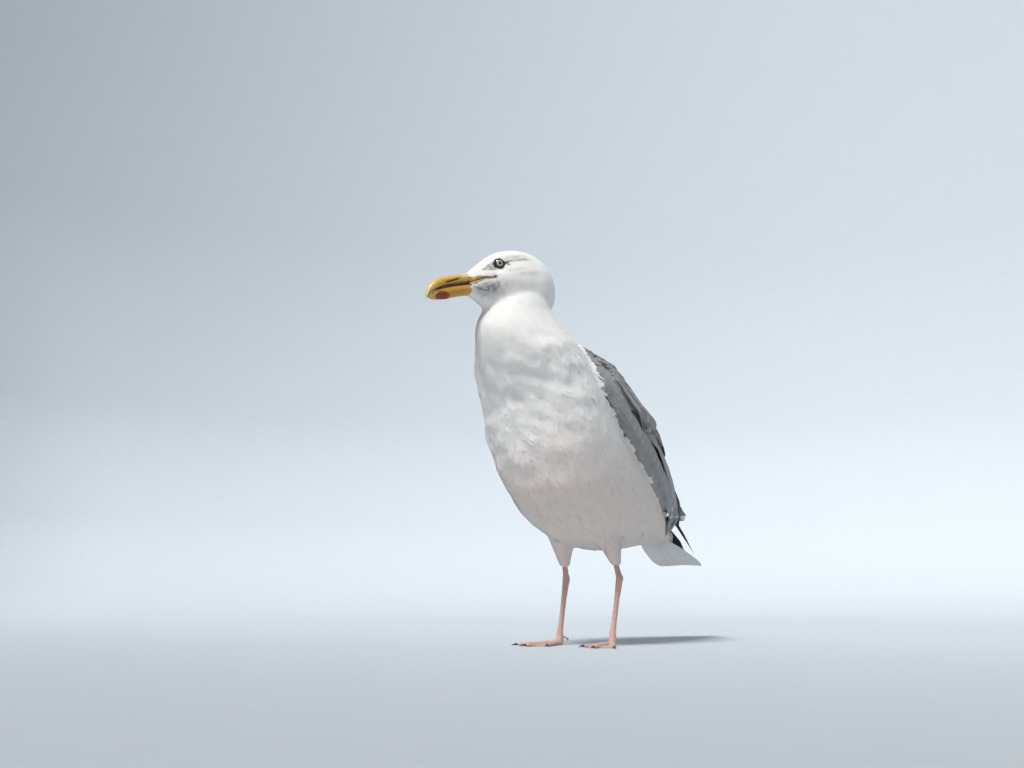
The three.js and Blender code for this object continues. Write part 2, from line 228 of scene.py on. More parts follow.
TIP_DROP = math.atan2(26.9, 80.2)  # the bill's tip lies this far below the head's axis
EYES = (middle("eye_left") + middle("eye_right")) / 2
LEFT = unit(middle("eye_left") - middle("eye_right"))
EYE_SIDE = np.linalg.norm(middle("eye_left") - EYES)
EYE_RADIUS = (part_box("eye_left")[1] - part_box("eye_left")[0]).z / 2
bill = NODES["upper_bill"][0]
to_tip = bill[np.argmax(np.linalg.norm(bill - EYES, axis=1))] - EYES
to_tip = unit(to_tip - dot(to_tip, LEFT) * LEFT)
square_up = np.cross(to_tip, LEFT)
FORWARD = math.cos(TIP_DROP) * to_tip + math.sin(TIP_DROP) * square_up
UP = np.cross(FORWARD, LEFT)


def eye_axis(sign):
    """The way out of an eye: 1 for the left eye and -1 for the right."""
    return unit(sign * LEFT + 0.3 * FORWARD)


def by_eye(points, sign):
    """How far places lie out from an eye's middle along its axis, and how far from that axis, in mm."""
    away = (points - EYES - sign * EYE_SIDE * LEFT) / MM
    axis = eye_axis(sign)
    height = away @ axis
    return height, np.linalg.norm(away - np.multiply.outer(height, axis), axis=-1)


def eye_frame(side):
    """An eye's middle, the way out of it and the ways ahead of and along its rim."""
    axis = eye_axis(SIGNS[side])
    ahead = unit(FORWARD - dot(FORWARD, axis) * axis)
    return middle(f"eye_{side}"), axis, ahead, np.cross(axis, ahead)


def on_head(points):
    """Places in mm as forward, up and left."""
    away = (points - EYES) / MM
    return away @ FORWARD, away @ UP, away @ LEFT


def from_head(forward, up, left):
    return EYES + MM * (
        np.multiply.outer(forward, FORWARD) + np.multiply.outer(up, UP) + np.multiply.outer(left, LEFT)
    )


# ---- Surfaces ----
# Forms of the face, the same on both sides: forward, up, left, spread and height in mm.
FACE_FORMS = [
    (1, 9, 14, 6, 1.3),  # brow
    (-8, 7, 17, 6, 0.7),
    (14, 1, 10, 6, -0.9),  # lores
    (-10, -2, 21, 7, -0.7),  # behind the eye
    (-12, -18, 27, 13, 1.4),  # cheek
    (8, -24, 17, 9, 0.8),  # jaw
]
GAPE = [(33, -14.8), (26, -13.4), (18, -12.3), (8.5, -13.4)]  # forward and up, back to its corner
MOUTH = [(33, -14.85), (48, -15.55), (62, -16.85), (71, -19.6), (76, -22.6)]  # between the bill's halves
FEATHER_LINE = 33.6  # forward of the eyes, where the bill leaves the feathers
LID_LEVEL = 3.6  # the lids' height over the eye's middle


def gape_distance(forward, up):
    """How far places lie from the line of the mouth behind the bill, in mm."""
    least = np.full(forward.shape, 1e3)
    for (f0, u0), (f1, u1) in zip(GAPE, GAPE[1:]):
        run, rise = f1 - f0, u1 - u0
        along = np.clip(((forward - f0) * run + (up - u0) * rise) / (run**2 + rise**2), 0, 1)
        least = np.minimum(least, np.hypot(forward - f0 - along * run, up - u0 - along * rise))
    return least


def over_gape(forward, up):
    """How far places lie over the line of the mouth behind the bill, in mm."""
    return up - np.interp(forward, *np.transpose(GAPE[::-1]))


def flange(forward):
    """The height of the bare yellow skin over the line of the mouth, in mm."""
    return 0.5 + 3.3 * ease(forward, 11, 33)


def sculpted(points, normals, way):
    """Points raised along their normals by the face's forms, the mouth's furrow and the breast's soft lumps,
    and pressed down round the eyes."""
    forward, up, left = on_head(points)
    rise = np.zeros(len(points))
    for f, u, side, spread, height in FACE_FORMS:
        away = (forward - f) ** 2 + (up - u) ** 2 + (abs(left) - side) ** 2
        rise += height * np.exp(-away / spread**2)
    rise -= 0.9 * bell(gape_distance(forward, up), 0, 1.6)
    front = ease(-normals[:, 1], -0.2, 0.35) * band(way, 75, 105, 200, 340)
    upper = 1 - ease(way, 150, 240)
    rise += 1.2 * front * noise(points / MM, 34, 3) + 1.1 * front * upper * noise(points / MM, 20, 4)
    rise += 0.45 * front * upper * noise(points / MM, 12, 6)
    points = points + normals * (rise * MM)[:, None]
    for sign in SIGNS.values():
        height, away = by_eye(points, sign)
        above = np.maximum(height - LID_LEVEL - 0.3 * (away - 5), 0) * (1 - ease(away, 5.5, 12))
        points = points - np.multiply.outer(above * MM * (height > 0), eye_axis(sign))
    return points


class Surface:
    """A closed mesh as arrays, with fields at its points and the nearest place on it to any point."""

    def __init__(self, mesh):
        self.points = read(mesh.vertices, "co")
        self.faces = triangles(mesh)
        self.refresh()

    def refresh(self):
        a, b, c = (self.points[self.faces[:, k]] for k in range(3))
        across = np.cross(b - a, c - a)
        self.area = np.linalg.norm(across, axis=1) / 2
        normals = np.zeros_like(self.points)
        for k in range(3):
            np.add.at(normals, self.faces[:, k], across)
        self.normals = unit(normals)
        self.tree = BVHTree.FromPolygons(self.points.tolist(), self.faces.tolist())

    def keep(self, kept):
        """Drops the points that aren't kept, and their faces."""
        new = np.cumsum(kept) - 1
        self.faces = new[self.faces[kept[self.faces].all(1)]]
        self.points = self.points[kept]
        self.refresh()

    def edges(self):
        pairs = np.concatenate([self.faces[:, [0, 1]], self.faces[:, [1, 2]], self.faces[:, [2, 0]]])
        return np.unique(np.sort(pairs, 1), axis=0)

    def smoothed(self, field, rounds):
        """A field of numbers or of vectors, averaged with its neighbours."""
        ends = self.edges()
        count = np.bincount(ends.ravel(), minlength=len(self.points))
        if field.ndim == 2:
            count = count[:, None]
        for _ in range(rounds):
            total = np.zeros_like(field)
            np.add.at(total, ends[:, 0], field[ends[:, 1]])
            np.add.at(total, ends[:, 1], field[ends[:, 0]])
            field = 0.5 * field + 0.5 * total / count
        return field

    def at(self, field, face, share):
        """A field of numbers or of vectors, at places given by their face and shares of its corners."""
        if field.ndim == 2:
            share = share[:, :, None]
        return (field[self.faces[face]] * share).sum(1)

    def out(self, face, share):
        """The normals at such places."""
        return unit(self.at(self.normals, face, share))

    def nearest(self, points):
        """The nearest places on the surface: place, face and shares of the face's corners."""
        hits = [self.tree.find_nearest(p) for p in points.tolist()]
        places = np.array([h[0] for h in hits])
        face = np.array([h[2] for h in hits])
        return places, face, self.shares(places, face)

    def shares(self, places, face):
        a, b, c = (self.points[self.faces[face, k]] for k in range(3))
        ab, ac, ap = b - a, c - a, places - a
        d00, d01, d11 = dot(ab, ab), dot(ab, ac), dot(ac, ac)
        d20, d21 = dot(ap, ab), dot(ap, ac)
        under = np.maximum(d00 * d11 - d01 * d01, 1e-30)
        v = np.clip((d11 * d20 - d01 * d21) / under, 0, 1)
        w = np.clip((d00 * d21 - d01 * d20) / under, 0, 1)
        return np.stack([1 - v - w, v, w], 1)


def walked(surface, sources):
    """The way over the surface from its nearest source to each point, by Dijkstra's method."""
    ends = surface.edges()
    spans = np.linalg.norm(surface.points[ends[:, 0]] - surface.points[ends[:, 1]], axis=1).tolist()
    beside = [[] for _ in surface.points]
    for (a, b), span in zip(ends.tolist(), spans):
        beside[a].append((b, span))
        beside[b].append((a, span))
    way = [math.inf] * len(beside)
    for s in sources:
        way[s] = 0.0
    line = [(0.0, s) for s in sources]
    while line:
        so_far, a = heapq.heappop(line)
        if so_far > way[a]:
            continue
        for b, span in beside[a]:
            if so_far + span < way[b]:
                way[b] = so_far + span
                heapq.heappush(line, (way[b], b))
    return np.array(way)


def slopes(surface, field):
    """The direction in which a field grows fastest, at each point."""
    a, b, c = (surface.points[surface.faces[:, k]] for k in range(3))
    fa, fb, fc = (field[surface.faces[:, k]] for k in range(3))
    normal = np.cross(b - a, c - a)
    rise = np.cross(normal, c - b) * fa[:, None] + np.cross(normal, a - c) * fb[:, None]
    rise += np.cross(normal, b - a) * fc[:, None]
    rise = unit(rise) * surface.area[:, None]
    total = np.zeros_like(surface.points)
    for k in range(3):
        np.add.at(total, surface.faces[:, k], rise)
    return unit(total)


WINGS = [f"{part}_{side}" for part in ("wing", "scapulars") for side in SIGNS]
FLESH = ["trunk", "neck", "head", "thigh_left", "thigh_right", *WINGS]

solid_points, solid_faces, solid_owner = joined([*FLESH, "eye_left", "eye_right", "upper_bill", "lower_bill"])
solids = BVHTree.FromPolygons(solid_points.tolist(), solid_faces.tolist())

BACK_HALF = 12 * MM  # half the width of the strip between the two sides' scapulars
scapular_front, wing_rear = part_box("scapulars_left")[0].y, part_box("wing_left")[1].y


def mantle_bridge():
    """A slab that closes the furrow between the two sides' scapulars, under the mantle's feathers."""
    sides = np.linspace(-1, 1, 9) * BACK_HALF
    arch = 1.2 * MM * (1 - (sides / BACK_HALF) ** 2)
    rows = []
    for y in np.linspace(scapular_front + 6 * MM, wing_rear - 5 * MM, 50):
        ends = [solids.ray_cast(Vector((x, y, 1)), Vector((0, 0, -1)))[0].z for x in (-BACK_HALF, BACK_HALF)]
        level = np.interp(sides, (-BACK_HALF, BACK_HALF), ends) + arch - 0.3 * MM
        top = np.stack([sides, np.full(len(sides), y), level], 1)
        rows.append(np.concatenate([top, top[::-1] - [0, 0, 10 * MM]]))
    count = len(rows[0])
    caps = [np.arange(count), np.arange(count)[::-1] + count * (len(rows) - 1)]
    quads = grid(len(rows), count, True)
    faces = np.concatenate([quads[:, [0, 1, 2]], quads[:, [0, 2, 3]]])
    fans = [np.stack([np.full(count - 2, c[0]), c[1:-1], c[2:]], 1)[:, ::-1] for c in caps]
    return np.concatenate(rows), np.concatenate([faces, *fans])


bridge_points, bridge_faces = mantle_bridge()
whole_points = np.concatenate([solid_points, bridge_points])
whole_faces = np.concatenate([solid_faces, bridge_faces + len(solid_points)])
VOXEL = 2.4 * MM
cover = Surface(remeshed("cover", whole_points, whole_faces, VOXEL, 3))
ahead = on_head(cover.points)[0] - FEATHER_LINE
way = walked(cover, np.flatnonzero(abs(ahead) < 2)) / MM * np.where(ahead > 0, -1, 1)
kept = np.isfinite(way)
cover.keep(kept)
way = cover.smoothed(way[kept], 12)
cover.points = sculpted(cover.points, cover.normals, way)
cover.refresh()
flow = unit(cover.smoothed(slopes(cover, way), 14))

owner = np.array([solid_owner[solids.find_nearest(p)[2]] for p in cover.points.tolist()])
owner = np.array([*FLESH, *["head"] * 4])[owner]
on_back = (abs(cover.points[:, 0]) < BACK_HALF) & (cover.normals[:, 2] > 0.3)
on_back &= (cover.points[:, 1] > scapular_front + 4 * MM) & (cover.points[:, 1] < wing_rear)
for i in np.flatnonzero(on_back):
    over = Vector(cover.points[i]) + Vector((0, 0, 2 * MM))
    on_back[i] = cover.tree.ray_cast(over, Vector((0, 0, 1)))[0] is None
is_scapular = np.char.startswith(owner, "scapulars") | on_back
is_grey = np.isin(owner, WINGS) | on_back
greyness = is_grey * 1.0 + (is_grey & is_scapular)  # 1 on the wing and 2 on the scapulars, whose darker grey is partly painted shade

# An unwrap of the body: the way along it, and the angle about the middle line of its rings.
RING = 10
rings = np.arange(-RING, way.max() + RING, RING)
near_ring = [abs(way - r) < RING for r in rings]
spine = np.array([cover.points[m].mean(0) if m.any() else cover.points[np.argmax(way)] for m in near_ring])
spine_way = unit(np.gradient(spine, axis=0))


def around(points, along):
    """The angle of places about the body's middle line: 0 on the back, positive to the left."""
    centre = np.stack([np.interp(along, rings, spine[:, k]) for k in range(3)], 1)
    tangent = unit(np.stack([np.interp(along, rings, spine_way[:, k]) for k in range(3)], 1))
    left = unit(np.array([1.0, 0, 0]) - tangent[:, :1] * tangent)
    back = np.cross(left, tangent)
    back *= np.where(dot(back, np.array([0, 0.5, 1.0])) < 0, -1, 1)[:, None]
    away = points - centre
    return np.arctan2(dot(away, left), dot(away, back))


# ---- Markings and painted shade, alike on skin and coat ----
def marked(points, along, greyness):
    """The plumage's colour at places on the body, with painted shade low on the body, under the chin and on
    the scapulars; greyness is 0 where it is white.
    """
    forward, up, left = on_head(points)
    side = abs(left)
    # Painted shade: the white grows darker and warmer low on the body, toward the belly, vent and rump.
    low_painted_shade = 1 - ease(points[:, 2], 145 * MM, 270 * MM)
    colour = blend(np.array(WHITE), WARM_PAINTED_SHADE, low_painted_shade * ease(along, 140, 220))
    top, bottom = 3.5 - 0.52 * (forward - 5.6), -6 + 0.13 * (forward - 7.6)
    lores = band(forward, 3.5, 6.5, 15, 22)
    dusk_and_shade = 0.72 * lores * (1 - ease(up, top - 1.2, top + 0.8)) * ease(up, bottom - 1, bottom + 1)
    back = -forward
    trail = 1.2 - 0.004 * (back - 18) ** 2  # the streak behind the eye bends down
    dusk_and_shade += 0.8 * band(back, 4, 8, 22, 38) * bell(up, trail, 1.3)
    dusk_and_shade += 0.42 * band(back, 4, 9, 24, 40) * bell(up, trail + 4, 2.6)
    dusk_and_shade += 0.25 * band(back, -4, 8, 14, 30) * bell(up, -8.5, 1.6)
    dusk_and_shade += 0.22 * band(back, 10, 18, 28, 44) * bell(up, -14.5, 2.2)
    dusk_and_shade += 1.2 * bell(back, 7.5, 1.8) * bell(up, -1.2 - 0.4 * (back - 5), 0.9)
    dusk_and_shade += 0.8 * bell(gape_distance(forward, up), 0, 1.3) * ease(side, 4, 8)
    # Under the chin: this mark is partly dusky streaks and partly painted shade; the next one is painted
    # shade.
    dusk_and_shade += 0.74 * bell(forward, 14, 13) * bell(up, -21.5, 5.6) * ease(side, 4, 9)
    dusk_and_shade += 0.28 * bell(forward, 14, 14) * bell(up, -29, 6.5) * ease(side, 2, 9)
    # Painted shade along the crease below the gape.
    dusk_and_shade += 0.7 * bell(up, -19 - 0.5 * (31 - forward), 1.0) * bell(forward, 25, 6) * ease(side, 3, 7)
    dusk_and_shade += 0.12 * bell(forward, -12, 14) * bell(up, -22, 9) * ease(side, 10, 20)
    dusk_and_shade *= (along < 95) * (1 + 0.4 * noise(points / MM, 6, 21) + 0.25 * noise(points / MM, 2.6, 22))
    colour = blend(colour, DUSKY_AND_SHADE, np.minimum(dusk_and_shade, 0.92))
    # The scapulars take the darker grey, in part painted shade.
    grey = blend(np.array(GREY), GREY_WITH_PAINTED_SHADE, greyness - 1)
    grey = grey * (1 + 0.05 * noise(points / MM, 60, 5))[:, None]
    colour = np.where((greyness > 0.5)[:, None], grey, colour)
    return colour * (1 + 0.03 * noise(points / MM, 12, 8))[:, None]


# ---- Feathers ----
class Feathers:
    """Feathers as arrays: places on the cover, headings along it, lengths and half widths in metres, how deep
    their roots lie and how far their tips stand off, and their colours."""

    def __init__(self, places, face, share, heading=None):
        self.places = places
        self.normal = cover.out(face, share)
        lie = cover.at(flow, face, share) if heading is None else heading
        self.heading = unit(lie - dot(lie, self.normal)[:, None] * self.normal)
        self.way = cover.at(way, face, share)

    def only(self, mask):
        """The feathers that a mask keeps."""
        made = Feathers.__new__(Feathers)
        for key, value in self.__dict__.items():
            made.__dict__[key] = value[mask] if isinstance(value, np.ndarray) else value
        return made

    def turned(self, angle):
        """The headings turned about the normals."""
        side = np.cross(self.normal, self.heading)
        self.heading = self.heading * np.cos(angle)[:, None] + side * np.sin(angle)[:, None]


def scattered(spacing, wanted, seed):
    """Places on the cover at least their spacing apart, where wanted and where the body doesn't hide them."""
    pick = np.random.default_rng(seed)
    gap = spacing[cover.faces].mean(1)
    weight = cover.area / gap**2 * wanted[cover.faces].all(1)
    count = int(weight.sum() * 7)  # draws, of which most are too close to others
    face = pick.choice(len(weight), count, p=weight / weight.sum())
    share = pick.dirichlet((1, 1, 1), count)
    places = cover.at(cover.points, face, share)
    rows, ups = places.tolist(), cover.out(face, share).tolist()
    tree = KDTree(count)
    for i, p in enumerate(rows):
        tree.insert(p, i)
    tree.balance()
    gap = cover.at(spacing, face, share)
    free, chosen = np.ones(count, bool), []
    for i in range(count):
        if not free[i]:
            continue
        for _, k, _ in tree.find_range(rows[i], gap[i]):
            free[k] = False
        start = Vector(rows[i]) + Vector(ups[i]) * (1.5 * MM)
        if cover.tree.ray_cast(start, Vector(ups[i]), 22 * MM)[0] is None:
            chosen.append(i)
    return places[chosen], face[chosen], share[chosen]


def paths(f, steps):
    """Points along each feather as it lies on the cover, or straight on past the cover's end, with the
    normals there."""
    here, aim, up = f.places, f.heading, f.normal
    spots, ups = [here], [up]
    stride = (f.length / steps)[:, None]
    for _ in range(steps):
        guess = here + aim * stride
        near, face, share = cover.nearest(guess)
        past = (np.linalg.norm(near - guess, axis=1) > f.hold)[:, None]
        normal = cover.out(face, share)
        past |= (dot(normal, up) < 0.3)[:, None]
        here = np.where(past, guess, near)
        up = np.where(past, up, normal)
        aim = np.where(past, aim, unit(aim - dot(aim, up)[:, None] * up))
        spots.append(here)
        ups.append(up)
    return np.stack(spots, 1), np.stack(ups, 1)


def between(rows, v):
    """Rows of points along each feather, read at shares v of its length."""
    last = rows.shape[1] - 1
    i = np.minimum((v * last).astype(int), last - 1)
    t = (v * last - i)[..., None]
    who = np.arange(len(rows))[:, None, None]
    return rows[who, i] * (1 - t) + rows[who, i + 1] * t


def flat(a):
    return a.reshape(-1, a.shape[-1])


def by_feather(field):
    """A number for each feather, spread over its rows and columns."""
    return field[:, None, None]


def vanes(name, f, columns, rows, steps, slot, material, spots=None, bake=None):
    """One mesh of closed, domed vanes that lie along paths. Their tips are round and a little ragged."""
    count = len(f.places)
    spine_points, ups = spots or paths(f, steps)
    u = np.linspace(-1, 1, columns + 1)[None, None, :]
    v = np.linspace(0, 1, rows + 1)[None, :, None]
    comb = 0.25 + 0.75 * (np.arange(columns + 1) % 2)
    ragged = by_feather(f.ragged) * comb * rng.uniform(0.3, 1, (count, 1, columns + 1))
    tip = 1 - f.tip_round * abs(u) ** f.tip_power - ragged
    v = v * tip
    breadth = f.root_width + (1 - f.root_width) * ease(v, 0, 0.45) - f.taper * ease(v, 0.6, 1)
    middle_line, up = between(spine_points, v), between(ups, v)
    along = np.gradient(spine_points, axis=1)
    side = unit(np.cross(between(along, v), up))
    reach_out = u * breadth * by_feather(f.half)
    lift = by_feather(f.rise + f.sink) * v - by_feather(f.sink) - by_feather(f.curl * f.length) * v**3
    lift = lift + by_feather(f.dome * f.half) * (1 - u**2) * breadth + reach_out * by_feather(f.roll)
    lift = lift + f.rachis * np.maximum(0, 1 - abs(u) * columns / 2) * (1 - 0.7 * v)
    points = middle_line + side * reach_out[..., None] + up * lift[..., None]

    # The underside is a strip between the edges, with a cap at the root and a fan under the tip.
    each = (rows + 1) * (columns + 1)
    start = by_feather(np.arange(count) * each)
    top = grid(rows + 1, columns + 1)[None] + start
    left = np.arange(rows) * (columns + 1)
    right = left + columns
    under = np.stack([left[:-1], left[1:], right[1:], right[:-1]], 1)[None] + start
    far = rows * (columns + 1) + np.arange(columns + 1)
    ring = np.concatenate([left[-1:], far, right[-1:]])
    hub = np.broadcast_to(count * each + np.arange(count)[:, None], (count, len(ring)))
    fan = np.stack([hub, ring + start[:, 0], np.roll(ring, -1) + start[:, 0]], 2)
    near = np.arange(1, columns)
    root = np.stack([np.zeros_like(near), near + 1, near], 1)[None] + start
    hub_points = points[:, [rows - 1, rows - 1, rows, rows], [0, -1, 0, -1]].mean(1)

    vane = np.stack([reach_out, v * by_feather(f.length)], -1) / MM
    share = np.stack([np.broadcast_to(u / 2 + 0.5, v.shape), v], -1)
    if bake is None:
        angle = around(f.places, f.way)
        home = np.stack([angle / (2 * math.pi) + 0.5, f.way / (way.max() + 1)], 1)
        bake = np.clip(home, 0.004, 0.993), PATCH
    corner, size = bake
    patch = corner[:, None, None, :] + share * size
    if hasattr(f, "colour"):
        tint = np.broadcast_to(f.colour[:, None, None, :], points.shape)
    else:
        along_body = (by_feather(f.way) + v * by_feather(f.length) / MM).ravel()
        tone = np.broadcast_to(by_feather(f.greyness), v.shape).ravel()
        tint = marked(points.reshape(-1, 3), along_body, tone).reshape(points.shape)

    def inner(a):
        """Values for all the points, the underside's own last, as at the middle of the row before the tip."""
        return np.concatenate([flat(a), a[:, rows - 1, columns // 2]])

    ob = mesh_object(
        name,
        np.concatenate([flat(points), hub_points]),
        [flat(top), flat(under), flat(fan), flat(root)],
        [("OFBake", inner(patch)), ("Vane", inner(vane)), ("Share", inner(share))],
        inner(tint),
        np.concatenate([flat(up), up[:, rows - 1, 0]]),
    )
    return piece(ob, slot, material)


def dressed(f, **wanted):
    """Gives feathers the fields they still lack, with small differences between one and the next."""
    count = len(f.places)
    usual = dict(
        sink=1.0 * MM, rise=0.2 * MM, dome=0.1, roll=0.06, curl=0.01, ragged=0.07, rachis=0.0, hold=4 * MM,
        tip_round=0.3, tip_power=2.2, root_width=0.5, taper=0.2, vary=0.1, twist=0.08,
    )
    usual.update(wanted)
    for key in ("sink", "rise", "dome", "curl", "ragged"):
        usual[key] = np.broadcast_to(np.asarray(usual[key], float), (count,)).copy()
    f.turned(rng.normal(0, usual.pop("twist"), count))
    vary = usual.pop("vary")
    f.length = f.length * (1 + vary * rng.uniform(-1, 1, count))
    f.half = f.half * (1 + vary * rng.uniform(-1, 1, count))
    usual["roll"] = usual["roll"] * rng.normal(0, 1, count)
    f.__dict__.update(usual)
    return f


# ---- Materials ----
def node(tree, kind, **values):
    """A shader node. Values called i0, i1 and on, or by a name with a capital, are for its inputs, and may be
    sockets of other nodes; the others are its settings."""
    made = tree.nodes.new("ShaderNode" + kind)
    for key, value in values.items():
        if not key[0].isupper() and not key[1:].isdigit():
            setattr(made, key, value)
            continue
        socket = made.inputs[int(key[1:])] if key[1:].isdigit() else made.inputs[key.replace("_", " ")]
        if isinstance(value, bpy.types.NodeSocket):
            tree.links.new(value, socket)
        else:
            socket.default_value = value
    return made


def maths(tree, operation, *inputs):
    places = {f"i{k}": value for k, value in enumerate(inputs)}
    return node(tree, "Math", operation=operation, **places).outputs[0]


def eased(tree, value, low, high):
    """0 below low, 1 above high and smooth between."""
    return node(tree, "MapRange", interpolation_type="SMOOTHSTEP", i0=value, i1=low, i2=high).outputs[0]


def mixed(tree, share, a, b, how="MIX"):
    """A colour between two others, each a socket or three numbers."""
    a, b = (end if isinstance(end, bpy.types.NodeSocket) else (*end, 1) for end in (a, b))
    return node(tree, "Mix", data_type="RGBA", blend_type=how, i0=share, i6=a, i7=b).outputs[2]


def shaded(tree, colour, light):
    """A colour made darker or lighter by a number."""
    light = node(tree, "CombineColor", i0=light, i1=light, i2=light).outputs[0]
    return mixed(tree, 1.0, colour, light, "MULTIPLY")


def new_material(name):
    material = bpy.data.materials.new(name)
    material.use_nodes = True
    material.node_tree.nodes.clear()
    return material, material.node_tree


def finished(tree, colour, height=None, depth=0.1 * MM, normal=None, **surface):
    """A Principled surface with a colour, and a bump from a height between 0 and 1."""
    shader = node(tree, "BsdfPrincipled", Base_Color=colour, **surface)
    if height is not None:
        bump = node(tree, "Bump", Height=height, Distance=depth, Strength=1.0)
        if normal:
            tree.links.new(normal, bump.inputs["Normal"])
        tree.links.new(bump.outputs["Normal"], shader.inputs["Normal"])
    node(tree, "OutputMaterial", Surface=shader.outputs[0])


def feather_material(name, barb, tip=None, tip_start=0.9, tip_bow=0.1, shaft=None, soft=0.6, shade=0.16):
    """A vane: barbs barb mm apart that run outward and toward the tip, a root darkened partly by its grey
    down and partly by painted shade, and where they are given a tip and a shaft of other colours. A soft one
    is shaded in part as the body under it lies."""
    material, tree = new_material(name)
    colour = node(tree, "Attribute", attribute_name="Coat").outputs["Color"]
    vane = node(tree, "SeparateXYZ", i0=node(tree, "UVMap", uv_map="Vane").outputs[0])
    share = node(tree, "SeparateXYZ", i0=node(tree, "UVMap", uv_map="Share").outputs[0])
    out = maths(tree, "ABSOLUTE", vane.outputs[0])
    across = maths(tree, "MULTIPLY_ADD", share.outputs[0], 2.0, -1.0)
    bow = maths(tree, "MULTIPLY", across, across)
    if tip:
        edge = maths(tree, "MULTIPLY_ADD", bow, tip_bow, share.outputs[1])
        colour = mixed(tree, eased(tree, edge, tip_start, tip_start + 0.025), colour, tip)
    else:
        fringe = maths(tree, "MULTIPLY", eased(tree, share.outputs[1], 0.82, 0.98), 0.16)
        colour = mixed(tree, fringe, colour, WHITE)
    ways = maths(tree, "MULTIPLY_ADD", out, -0.9, vane.outputs[1])
    place = node(tree, "TexCoord").outputs["Object"]
    wander = node(tree, "TexNoise", Vector=place, Scale=160.0, Detail=2.0).outputs[0]
    phase = maths(tree, "MULTIPLY_ADD", wander, 5.0, maths(tree, "MULTIPLY", ways, 2 * math.pi / barb))
    barbs = maths(tree, "MULTIPLY_ADD", maths(tree, "SINE", phase), 0.5, 0.5)
    # Painted shade in part: each vane darkens toward its root, where the vanes overlap; the down there is
    # greyer too.
    root = maths(tree, "MULTIPLY_ADD", eased(tree, share.outputs[1], 0.05, 0.6), shade, 1 - shade)
    lined = maths(tree, "MULTIPLY", root, maths(tree, "MULTIPLY_ADD", barbs, -0.4 * shade, 1.0 + 0.2 * shade))
    colour = shaded(tree, colour, lined)
    if shaft:
        line = maths(tree, "SUBTRACT", 1.0, eased(tree, out, 0.25, 0.55))
        colour = mixed(tree, maths(tree, "MULTIPLY", line, 0.6), colour, shaft)
    lie = node(tree, "Attribute", attribute_name="Lie").outputs["Vector"]
    geometry = node(tree, "NewGeometry")
    face = geometry.outputs["True Normal"]
    agree = node(tree, "VectorMath", operation="DOT_PRODUCT", i0=face, i1=lie).outputs[1]
    lie = node(tree, "VectorMath", operation="SCALE", i0=lie, i3=maths(tree, "SIGN", agree)).outputs[0]
    own = geometry.outputs["Normal"]
    facing = node(tree, "Mix", data_type="VECTOR", i0=soft, i4=own, i5=lie).outputs[1]
    finished(
        tree, colour, barbs, 0.05 * MM, facing, Roughness=0.8, Specular_IOR_Level=0.2, Sheen_Weight=0.15,
        Sheen_Roughness=0.5,
    )
    return material


def body_material(name, scale, roughness, depth, specular=0.3, contrast=0.12):
    """Skin or horn: the piece's own colours, mottled, with fine cells of the given number per metre."""
    material, tree = new_material(name)
    colour = node(tree, "Attribute", attribute_name="Coat").outputs["Color"]
    place = node(tree, "TexCoord").outputs["Object"]
    cells = node(tree, "TexVoronoi", feature="DISTANCE_TO_EDGE", Vector=place, Scale=scale).outputs[0]
    ridge = eased(tree, cells, 0.0, 0.25)
    cloud = node(tree, "TexNoise", Vector=place, Scale=scale * 0.35, Detail=4.0).outputs[0]
    lined = maths(tree, "MULTIPLY_ADD", ridge, contrast, 0.93 - contrast)
    colour = shaded(tree, colour, maths(tree, "MULTIPLY_ADD", cloud, 0.12, lined))
    finished(tree, colour, ridge, depth, Roughness=roughness, Specular_IOR_Level=specular)
    return material


WHITE_FEATHERS = feather_material("white_feathers", 0.7, soft=0.85, shade=0.06)
GREY_FEATHERS = feather_material("grey_feathers", 0.7)
TIPPED_FEATHERS = feather_material("tipped_feathers", 0.7, WHITE, 0.88, 0.06, (0.25, 0.26, 0.28), 0.4)
FLIGHT_WHITE = feather_material("flight_white", 0.8, shaft=(0.7, 0.69, 0.65), soft=0.2)
FLIGHT_BLACK = feather_material("flight_black", 0.8, WHITE, 0.925, 0.05, (0.01, 0.01, 0.01), 0.2)

# ---- Skin ----
CUT_WING = 0.72  # the skin leaves out the thin rear of the folded wings, which is feathers alone


def fleshy(name):
    """A node's points, with a wing's thin rear drawn in."""
    points = NODES[name][0].copy()
    if name in WINGS:
        low, high = points[:, 1].min(), points[:, 1].max()
        points[:, 1] = np.minimum(points[:, 1], low + CUT_WING * (high - low))
    return points


flesh_points = np.concatenate([fleshy(name) for name in FLESH])
skin_mesh = remeshed("skin", flesh_points, joined(FLESH)[1], VOXEL, 3)
skin_points, skin_normals = read(skin_mesh.vertices, "co"), read(skin_mesh.vertices, "normal")
_, face, share = cover.nearest(skin_points)
skin_way = cover.at(way, face, share)
depth = np.interp(skin_way, WAY, DEPTH) * MM
skin_points = sculpted(skin_points, skin_normals, skin_way) - skin_normals * depth[:, None]
# Painted shade: the skin takes the plumage's colours at 0.8, as it shows only in the gaps under the vanes.
skin_colour = marked(skin_points, skin_way, greyness[cover.faces[face, 0]]) * 0.8
skin = linked("skin", reshaped(skin_mesh, skin_points, skin_colour))
piece(skin, "plumage_white", body_material("skin_under_coat", 500, 0.8, 0.2 * MM), *FLESH)

# ---- The body's coat ----
forward, up, left = on_head(cover.points)
eye_away = np.full(len(cover.points), 1e3)
round_eye = np.zeros_like(cover.points)
for sign in SIGNS.values():
    height, away = by_eye(cover.points, sign)
    near = (height > 0) & (away < 40)
    eye_away[near] = away[near]
    spoke = cover.points - EYES - sign * EYE_SIDE * MM * LEFT
    round_eye[near] = unit(spoke - np.multiply.outer(spoke @ eye_axis(sign), eye_axis(sign)))[near]
bend = ((5.2 / np.maximum(eye_away, 5.2)) ** 2)[:, None] * (eye_away < 25)[:, None]
flow = unit(flow - bend * 2 * dot(flow, round_eye)[:, None] * round_eye * (dot(flow, round_eye) < 0)[:, None])

